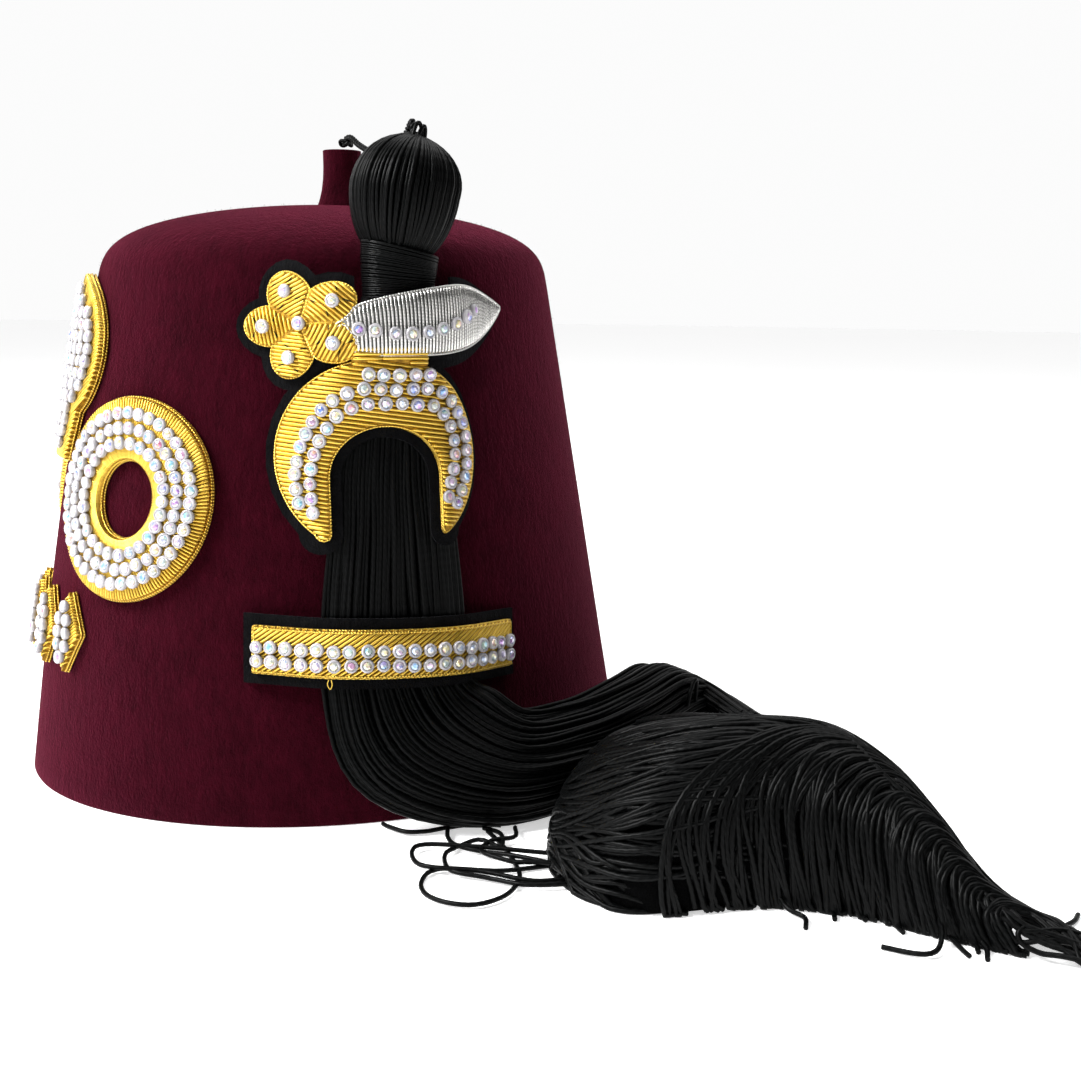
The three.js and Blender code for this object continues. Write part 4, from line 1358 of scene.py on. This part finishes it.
# %% Loose loops and ends
LOOPS = [
    [(-5, -86.5), (-4, -90), (-0.6, -95.9), (5, -97.4), (12.7, -95.6), (19.2, -96.5), (27, -100)],
    [(12.4, -94.9), (9.2, -106.3), (11.2, -113.2), (19.9, -120.7), (26.4, -127.3), (34, -135)],
    [(37, -128), (25.4, -121.8), (13.1, -114.6), (1.8, -108.6), (-2.6, -110.9), (-4.3, -120),
     (-1, -125.4), (10.4, -132), (21.3, -141.3), (33, -144.4)],
    [(32, -131.3), (16.4, -131.2), (1.4, -124.8), (-5, -129.6), (-6.7, -137.8), (-3.3, -145.5),
     (3.4, -149.7), (11.7, -147.3), (18.1, -140.2), (21.4, -131.5), (22.6, -117.1), (21.9, -103)],
    [(21.5, -100.4), (24.6, -106.7), (21.3, -116.6), (17.2, -109), (7.6, -113.6), (4, -119.8),
     (3.7, -128.4), (12.1, -135.4), (20.5, -143.7), (37, -147.5)],
    [(30, -104), (27, -112), (20, -112), (15, -119), (20, -127), (30, -133), (40, -139)],
]
ENDS = [
    [(78, -168), (77, -178), (79.5, -183), (77, -188)],
    [(88, -166), (90, -176), (89, -181), (86.5, -186)],
    [(93, -172), (94.5, -182), (93.6, -189)],
    [(99, -178), (99, -192), (98.6, -198)],
    [(108, -196), (104, -206), (97, -211), (89, -203)],
    [(104, -190), (107, -203), (106.2, -214)],
    [(110, -200), (111, -209), (109.5, -213)],
    [(112, -203), (112, -212), (109.1, -217)],
    [(114, -200), (131, -213), (139, -219), (143.5, -224)],
    [(114, -196), (133, -208), (142, -207), (147, -203.5)],
]


HUMPS = ((92, -76, 9, 4), (97, -80, 12, 3), (84, -74, 5, -2))  # x, y, rise and lean of loops on the hump


def table_line(flat, count):
    """A smooth line on the table, with room for half a strand under it."""
    return smooth_line([(x, y, 0.75) for x, y in flat], count)


def loose_lines():
    rng = np.random.default_rng(71)
    lines = []
    for i, flat in enumerate(LOOPS):
        line = table_line(flat, 64)
        line[:, 2] += 0.5 * (i % 3) + 0.5 * np.abs(np.sin(np.linspace(0, 5 + i, 64)))
        lines.append(line)
    for flat in ENDS:
        line = table_line(flat, 22)
        line[:, 2] += np.linspace(6, 0, 22) ** 1.3 * 0.6 * (1 - np.linspace(0, 1, 22))
        lines.append(line)
    for x, y, top, lean in HUMPS:
        t = np.linspace(0, math.pi, 24)
        lines.append(np.stack([
            x + 2.2 * np.cos(t) + lean * np.sin(t) * 0.6, y + 1.5 * np.cos(t), 22 + top * np.sin(t)
        ], -1) + rng.normal(0, 0.05, (24, 3)))
    return lines


ready(tubes("loose_strands", loose_lines(), 1.35, 7, strand_silk, seed=72), "silk")

# %% [markdown]
# ## The side badge
# Black felt carries a padded arch, a leaf and a flower, all filled with couched wire and outlined with
# pearl purl. The badge bows out over the tassel's neck, by the same rule as in the solid model.

# %% How the badge and the bar stand off the wall
BOW_RISE = 10.2


def bow(across, reach, power):
    """The share of a bow's rise that is left at a distance from its middle."""
    return np.exp(-(np.abs(across / reach) ** power))


def eased(share):
    """A share from 0 to 1 that starts and ends gently."""
    s = np.clip(share, 0, 1)
    return s * s * (3 - 2 * s)


def badge_lift(across, z):
    return (BOW_RISE + 6.8 * eased((z - 112) / 38)) * bow(across, 25, 3)


def bar_lift(across, z):
    return BOW_RISE * bow(across, 29, 3.6)


BADGE = Spot(0.0, 106.0, lift=badge_lift)
PADDING_TOP = 4.0
STONE_SEAT = 4.65


# %% The felt and the padding keep their solid shape
def refinish(material, *nodes):
    for name in nodes:
        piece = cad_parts[name]
        piece.data.materials.clear()
        piece.data.materials.append(material)
    print(material.name, "on", ", ".join(nodes))


refinish(black_felt, "badge_felt", "bar_felt")
refinish(gold_padding, "badge_arch", "badge_flower", "bar_gold", "ring_left_gold", "ring_right_gold",
         "fan_gold", *[f"pip_{i}_gold" for i in range(1, 6)])
refinish(silver_padding, "badge_leaf")

# %% [markdown]
# The arch is a horseshoe with a collar on its crown. Its wires lie side by side across it, and its stones
# follow it in two rows, with a third at the top.

# %% The arch
ARCH_OUTER, ARCH_INNER = (-2.7, 0.0, 27.1), (-1.6, -5.6, 15.0)  # x, y and radius of each curve
ARCH_FOOT, ARCH_TILT = -21.0, -9.0
COLLAR = (-9.6, 8.6)


def arch_outline():
    reach = math.sqrt(ARCH_OUTER[2] ** 2 - ARCH_FOOT**2)
    start = math.atan2(ARCH_FOOT, reach)

    def foot(left, right):
        return arc((left + right) / 2, ARCH_FOOT, (right - left) / 2, math.pi, 2 * math.pi, 8)[1:-1]

    return np.concatenate([
        arc(*ARCH_OUTER, start, math.pi - start, 90),
        foot(ARCH_OUTER[0] - reach, ARCH_INNER[0] - ARCH_INNER[2]),
        arc(*ARCH_INNER, math.pi, 0, 60),
        foot(ARCH_INNER[0] + ARCH_INNER[2], ARCH_OUTER[0] + reach),
    ])


def arch_wires():
    lines = parallel_fill(BADGE, arch_outline(), ARCH_TILT, 1.22, PADDING_TOP)
    for y in np.arange(21.4, 31, 1.22):
        reach = math.sqrt(max(0, ARCH_OUTER[2] ** 2 - y * y))
        for start, end in ((COLLAR[0], ARCH_OUTER[0] - reach), (ARCH_OUTER[0] + reach, COLLAR[1])):
            if end - start > 1.2:
                lines.append(couched(BADGE, (start, y), (end, y), PADDING_TOP))
    return lines


OUTER_ROW = [
    (-24.0, -12), (-24.5, -4), (-22.3, 4.7), (-18.7, 11.6), (-13.6, 17), (-8, 19.1), (2, 19.1), (11, 18.8),
    (16.4, 14.4), (19.8, 8), (20.6, 1), (19.6, -6.6), (16.8, -13.6),
]
INNER_ROW = [
    (-20.3, -15), (-20.6, -6), (-18.6, 3.4), (-14.8, 10.6), (-9.6, 14.6), (-4, 15.1), (4, 15), (10.4, 14.2),
    (14.4, 10.2), (16.4, 4), (15.9, -3), (13.9, -11.6),
]


def arch_stones():
    """A straight row of five at the top, then two rows that run over the crown and down both sides."""
    top = np.stack([np.linspace(-6.2, 8.8, 5), np.full(5, 23.2)], -1)
    return np.concatenate([top] + [even_steps(smooth_line(row, 160), 4.0) for row in (OUTER_ROW, INNER_ROW)])


arch = arch_outline()
ready(tubes("arch_wire", arch_wires(), 1.16, 7, gold_fill, seed=101), "gold")
arch_edges = [edging(BADGE, arch, PADDING_TOP + height, out=0.4) for height in (-1.9, -1.2, -0.5)]
ready(tubes("arch_edging", arch_edges, 0.6, 6, gold_edge, seed=102), "gold")
set_stones("arch_stones", BADGE, arch_stones(), STONE_SEAT, seed=103, nodes=["badge_arch_stones"])

# %% [markdown]
# The leaf is worked in silver. Its wires lie across it on a slight slant, and a row of stones is its rib.

# %% The leaf
FLOWER = np.array([-21.5, 37.5])
PETAL_REACH, PETAL_LENGTH, PETAL_WIDTH = 7.8, 7.2, 5.4
PETAL_TURNS = math.pi + 2 * math.pi * np.arange(5) / 5
LEAF_TOP = PADDING_TOP + 0.6


def leaf_lift(across, z):
    """The badge's lift and a little more towards the leaf's tip, where its padding bridges a hollow."""
    return badge_lift(across, z) + eased((across - 12) / 8)


LEAF_SPOT = Spot(BADGE.across, BADGE.z, lift=leaf_lift)
LEAF_BASE, LEAF_TIP, LEAF_HALF = np.array([-14.5, 35.2]), np.array([37.6, 43.2]), 8.0


def bezier(a, b, c, d, count=24):
    t = np.linspace(0, 1, count)[:, None]
    a, b, c, d = (np.array(v, float) for v in (a, b, c, d))
    return a * (1 - t) ** 3 + 3 * b * t * (1 - t) ** 2 + 3 * c * t**2 * (1 - t) + d * t**3


def leaf_outline():
    ahead = unit(LEAF_TIP - LEAF_BASE)
    across = np.array([-ahead[1], ahead[0]])
    length = np.linalg.norm(LEAF_TIP - LEAF_BASE)

    def at(share, side):
        return LEAF_BASE + ahead * length * share + across * side * LEAF_HALF

    lowest, highest, tip = at(0.46, -1.25), at(0.57, 0.95), at(1, 0)
    parts = [
        bezier(LEAF_BASE, at(-0.03, -0.8), at(0.18, -1.1), lowest),
        bezier(lowest, at(0.68, -1.37), at(0.9, -0.75), tip),
        bezier(tip, at(0.9, 0.55), at(0.74, 0.98), highest),
        bezier(highest, at(0.36, 0.9), at(-0.03, 0.75), LEAF_BASE),
    ]
    return np.concatenate([part[:-1] for part in parts])


def clear_of_flower(outline):
    """Pushes an outline's points out of the petals, from the flower's middle."""
    moved = outline.copy()
    for turn in PETAL_TURNS:
        ahead = np.array([math.cos(turn), math.sin(turn)])
        across = np.array([-ahead[1], ahead[0]])
        middle = FLOWER + ahead * PETAL_REACH
        u = (moved - middle) @ ahead / (PETAL_LENGTH + 0.4)
        v = (moved - middle) @ across / (PETAL_WIDTH + 0.4)
        inside = np.hypot(u, v) < 1
        scale = 1 / np.maximum(np.hypot(u, v), 0.05)
        pushed = middle + (moved - middle) * scale[:, None]
        moved[inside] = pushed[inside]
    return moved


leaf = leaf_outline()
leaf_seen = clear_of_flower(leaf)
leaf_tilt = math.degrees(math.atan2(*(LEAF_TIP - LEAF_BASE)[::-1]))
leaf_wires = parallel_fill(LEAF_SPOT, leaf_seen, leaf_tilt + 84, 0.9, LEAF_TOP)
ready(tubes("leaf_wire", leaf_wires, 0.86, 6, silver_fill, seed=111), "silver")
leaf_edges = [edging(LEAF_SPOT, leaf_seen, LEAF_TOP + height, out=0.4) for height in (-1.9, -1.2, -0.5)]
ready(tubes("leaf_edging", leaf_edges, 0.6, 6, silver_edge, seed=112), "silver")
rib = smooth_line([(-8.4, 35.3), (-2, 34.3), (6, 34.2), (13, 36), (22.3, 41.2)], 9)
set_stones("leaf_stones", LEAF_SPOT, rib, LEAF_TOP + 0.95, seed=113, nodes=["badge_leaf_stones"])

# %% [markdown]
# The flower has five padded petals. Black thread crosses each one as a vein.

# %% The flower
def trimmed(outline, normal, limit):
    """The part of a flat outline on the near side of a line."""
    kept = []
    side = outline @ normal - limit
    for i in range(len(outline)):
        j = (i + 1) % len(outline)
        if side[i] <= 0:
            kept.append(outline[i])
        if (side[i] <= 0) != (side[j] <= 0):
            share = side[i] / (side[i] - side[j])
            kept.append(outline[i] + (outline[j] - outline[i]) * share)
    return np.array(kept)


def petal_outline(turn):
    ahead = np.array([math.cos(turn), math.sin(turn)])
    outline = ellipse(*(FLOWER + ahead * PETAL_REACH), PETAL_LENGTH, PETAL_WIDTH, turn, 60)
    for bend in (-1, 1):
        edge = turn + bend * math.pi / 5
        normal = bend * np.array([-math.sin(edge), math.cos(edge)])
        outline = trimmed(outline, normal, FLOWER @ normal - 0.35)
    return outline


VEIN_HEIGHTS = PADDING_TOP + np.array([0.2, 0.6, 0.68, 0.6, 0.2])


def flower():
    fills, edges, veins = [], [], []
    for turn in PETAL_TURNS:
        ahead = np.array([math.cos(turn), math.sin(turn)])
        across = np.array([-ahead[1], ahead[0]])
        outline = petal_outline(turn)
        fills += parallel_fill(BADGE, outline, math.degrees(turn) + 98, 1.05, PADDING_TOP)
        edges += [edging(BADGE, outline, PADDING_TOP + height, 0.7, 0.25) for height in (-1.7, -1.0, -0.3)]
        for reach, forward in ((7.2, -1.2), (11.6, 1.4)):
            for side in (-1, 1):
                start = FLOWER + ahead * reach + across * side * 0.7
                end = start + ahead * forward + across * side * 2.6
                flat = np.linspace(start, end, 5)
                veins.append(BADGE.place(flat[:, 0], flat[:, 1], VEIN_HEIGHTS)[0])
    ready(tubes("flower_wire", fills, 1.0, 6, gold_fill, seed=121), "gold")
    ready(tubes("flower_edging", edges, 0.55, 6, gold_edge, seed=122), "gold")
    ready(tubes("flower_veins", veins, 0.38, 5, thread_silk, seed=123), "silk")


flower()
petal_stones = FLOWER + (PETAL_REACH + 1.8) * np.stack([np.cos(PETAL_TURNS), np.sin(PETAL_TURNS)], -1)
flower_seats = np.concatenate([petal_stones, [FLOWER]])
set_stones("flower_stones", BADGE, flower_seats, STONE_SEAT, seed=124,
           nodes=[f"flower_stone_{i}" for i in range(1, 7)])

# %% [markdown]
# ## The holder bar
# The bar keeps the tassel to the hat. Pearl purl frames it, slanted wires fill it, and two rows of stones
# run along it. One wire's end has worked loose under it.

# %% The bar
BAR = Spot(-0.8, 50.6, -2.6, lift=bar_lift)
BAR_HALF = np.array([38.0, 6.6])


def rectangle(left, bottom, right, top):
    return np.array([(left, bottom), (right, bottom), (right, top), (left, top)], float)


bar = rectangle(-BAR_HALF[0], -BAR_HALF[1], BAR_HALF[0], BAR_HALF[1])
bar_fill = parallel_fill(BAR, bar, 38, 1.05, PADDING_TOP)
ready(tubes("bar_wire", bar_fill, 0.98, 6, gold_fill, seed=131), "gold")
bar_frame = [
    edging(BAR, bar * [1.004, 1.02], PADDING_TOP - 1.7),
    edging(BAR, bar * [1.004, 1.02], PADDING_TOP - 0.7),
    edging(BAR, bar * [0.988, 0.93], PADDING_TOP + 0.45),
]
ready(tubes("bar_edging", bar_frame, 0.6, 6, gold_edge, seed=132), "gold")
bar_x = (np.arange(19) - 9) * 4.02 - 0.3
bar_seats = np.concatenate([np.stack([bar_x, np.full(19, y)], -1) for y in (0.95, -3.1)])
set_stones("bar_stones", BAR, bar_seats, STONE_SEAT, seed=133, nodes=["bar_stones"])
STRAY = [(-17.6, -7.2, 3.2), (-17.9, -8.6, 2.4), (-17.2, -10.0, 2.2), (-16.7, -8.6, 2.6), (-17.0, -7.2, 3.2)]
stray_line = BAR.place(*smooth_line(STRAY, 24).T)[0]
ready(tubes("bar_stray_wire", [stray_line], 0.35, 6, gold_fill, seed=134), "gold")

# %% [markdown]
# ## Goldwork on the front
# Two oval rings, a fan and a row of small lozenges are sewn straight onto the wall. Stones pave each one in
# rows, inside a margin of wire.

# %% The rings
WALL_TOP, WALL_SEAT = 2.9, 3.5
RING_OUTER, RING_INNER, RING_Z, RING_FROM_FRONT = (27.0, 29.5), (10.0, 11.8), 93.0, 45.0
RING_EDGES = (((27.4, 29.9), 0.5), ((27.3, 29.8), 1.5), ((9.7, 11.5), 0.5), ((9.8, 11.6), 1.5))
RING_ROWS, RING_PITCH = ((22.4, 24.9), (18.4, 20.6), (14.3, 16.3)), 3.75


def oval_path(half_width, half_height, count=160):
    return ellipse(0, 0, half_width, half_height, count=count)


def ring_piece(side, sign, seed):
    spot = Spot(front_across(RING_Z) + sign * RING_FROM_FRONT, RING_Z)
    spokes = []
    for turn in np.linspace(0, 2 * math.pi, 172, endpoint=False):
        skew = turn + 0.16
        inner = (RING_INNER[0] * math.cos(turn), RING_INNER[1] * math.sin(turn))
        outer = (RING_OUTER[0] * math.cos(skew), RING_OUTER[1] * math.sin(skew))
        spokes.append(couched(spot, inner, outer, WALL_TOP))
    ready(tubes(f"ring_{side}_wire", spokes, 0.9, 6, gold_fill, seed=seed), "gold")
    edges = [edging(spot, oval_path(*size), height) for size, height in RING_EDGES]
    ready(tubes(f"ring_{side}_edging", edges, 0.85, 7, gold_edge, seed=seed + 1), "gold")
    rows = [even_steps(oval_path(*size), RING_PITCH, closed=True) for size in RING_ROWS]
    set_stones(f"ring_{side}_set", spot, np.concatenate(rows), WALL_SEAT, seed=seed + 2,
               nodes=[f"ring_{side}_stones"])


ring_piece("left", 1, 141)
ring_piece("right", -1, 151)

# %% [markdown]
# The fan and the lozenges are paved in staggered rows that keep clear of the outline.

# %% Paving a shape with stones
def paved(outline, pitch, margin):
    """Seats in staggered rows inside an outline, at least margin from its edge."""
    seats = []
    low, high = outline.min(0), outline.max(0)
    closed = np.concatenate([outline, outline[:1]])
    edge = even_steps(closed, 0.5)
    for row, y in enumerate(np.arange(low[1] + margin, high[1] - margin + 0.01, pitch * 0.9)):
        found = crossings(outline, np.array([0.0, y]), np.array([1.0, 0.0]))
        for start, end in found[: len(found) // 2 * 2].reshape(-1, 2):
            room = end - start - 2 * margin
            if room < -0.3:
                continue
            count = max(1, int(room / pitch) + 1)
            gap = min(pitch * 1.08, room / (count - 1)) if count > 1 else 0
            middle = (start + end) / 2
            for k in range(count):
                seat = np.array([middle + (k - (count - 1) / 2) * gap, y])
                if np.linalg.norm(edge - seat, axis=1).min() > margin * 0.72:
                    seats.append(seat)
    return np.array(seats)


# %% The fan
FAN_Z = 131.0


def fan_outline():
    half, top, waist, foot, foot_half = 26, 27, -14, -29, 13
    right = bezier((foot_half + 3, waist), (half + 3, waist + 8), (half + 2, top - 4), (0, top))
    left = right[::-1] * [-1, 1]
    return np.concatenate([[(-foot_half, foot), (foot_half, foot)], right, left[1:]])


fan_spot = Spot(front_across(FAN_Z), FAN_Z)
fan = fan_outline()
fan_fill = parallel_fill(fan_spot, fan, 38, 0.92, WALL_TOP)
ready(tubes("fan_wire", fan_fill, 0.9, 6, gold_fill, seed=161), "gold")
fan_edges = [edging(fan_spot, fan * 1.012, 0.5), edging(fan_spot, fan * 1.01, 1.5)]
ready(tubes("fan_edging", fan_edges, 0.85, 7, gold_edge, seed=162), "gold")
set_stones("fan_set", fan_spot, paved(fan, 4.0, 4.6), WALL_SEAT, seed=163, nodes=["fan_stones"])

# %% The lozenges
PIP_Z, PIP_PITCH, PIP_HALF = 51.0, 14.6, (6.4, 12.0)
PIP_SEATS = [(0, 7.6), (-1.95, 3.9), (1.95, 3.9), (-2.1, 0), (2.1, 0), (-1.95, -3.9), (1.95, -3.9), (0, -7.6)]


def pips():
    wires, edges, seats = [], [], []
    outline = np.array([(0, -PIP_HALF[1]), (PIP_HALF[0], 0), (0, PIP_HALF[1]), (-PIP_HALF[0], 0)], float)
    for i in range(5):
        spot = Spot(front_across(PIP_Z) + (i - 2) * PIP_PITCH, PIP_Z)
        wires += parallel_fill(spot, outline, 38, 0.9, WALL_TOP)
        edges += [edging(spot, outline * 1.02, 0.5, 0.8), edging(spot, outline * 1.01, 1.5, 0.8)]
        name = f"pip_{i + 1}"
        set_stones(name + "_set", spot, PIP_SEATS, WALL_SEAT, seed=171 + i, nodes=[name + "_stones"])
    ready(tubes("pip_wire", wires, 0.85, 6, gold_fill, seed=181), "gold")
    ready(tubes("pip_edging", edges, 0.8, 7, gold_edge, seed=182), "gold")


pips()

# %% [markdown]
# ## Finish

# %% Clearing away the template shapes
for shape in ("stone_shape", "cup_shape", "hair_shape"):
    bpy.data.objects.remove(bpy.data.objects[shape])
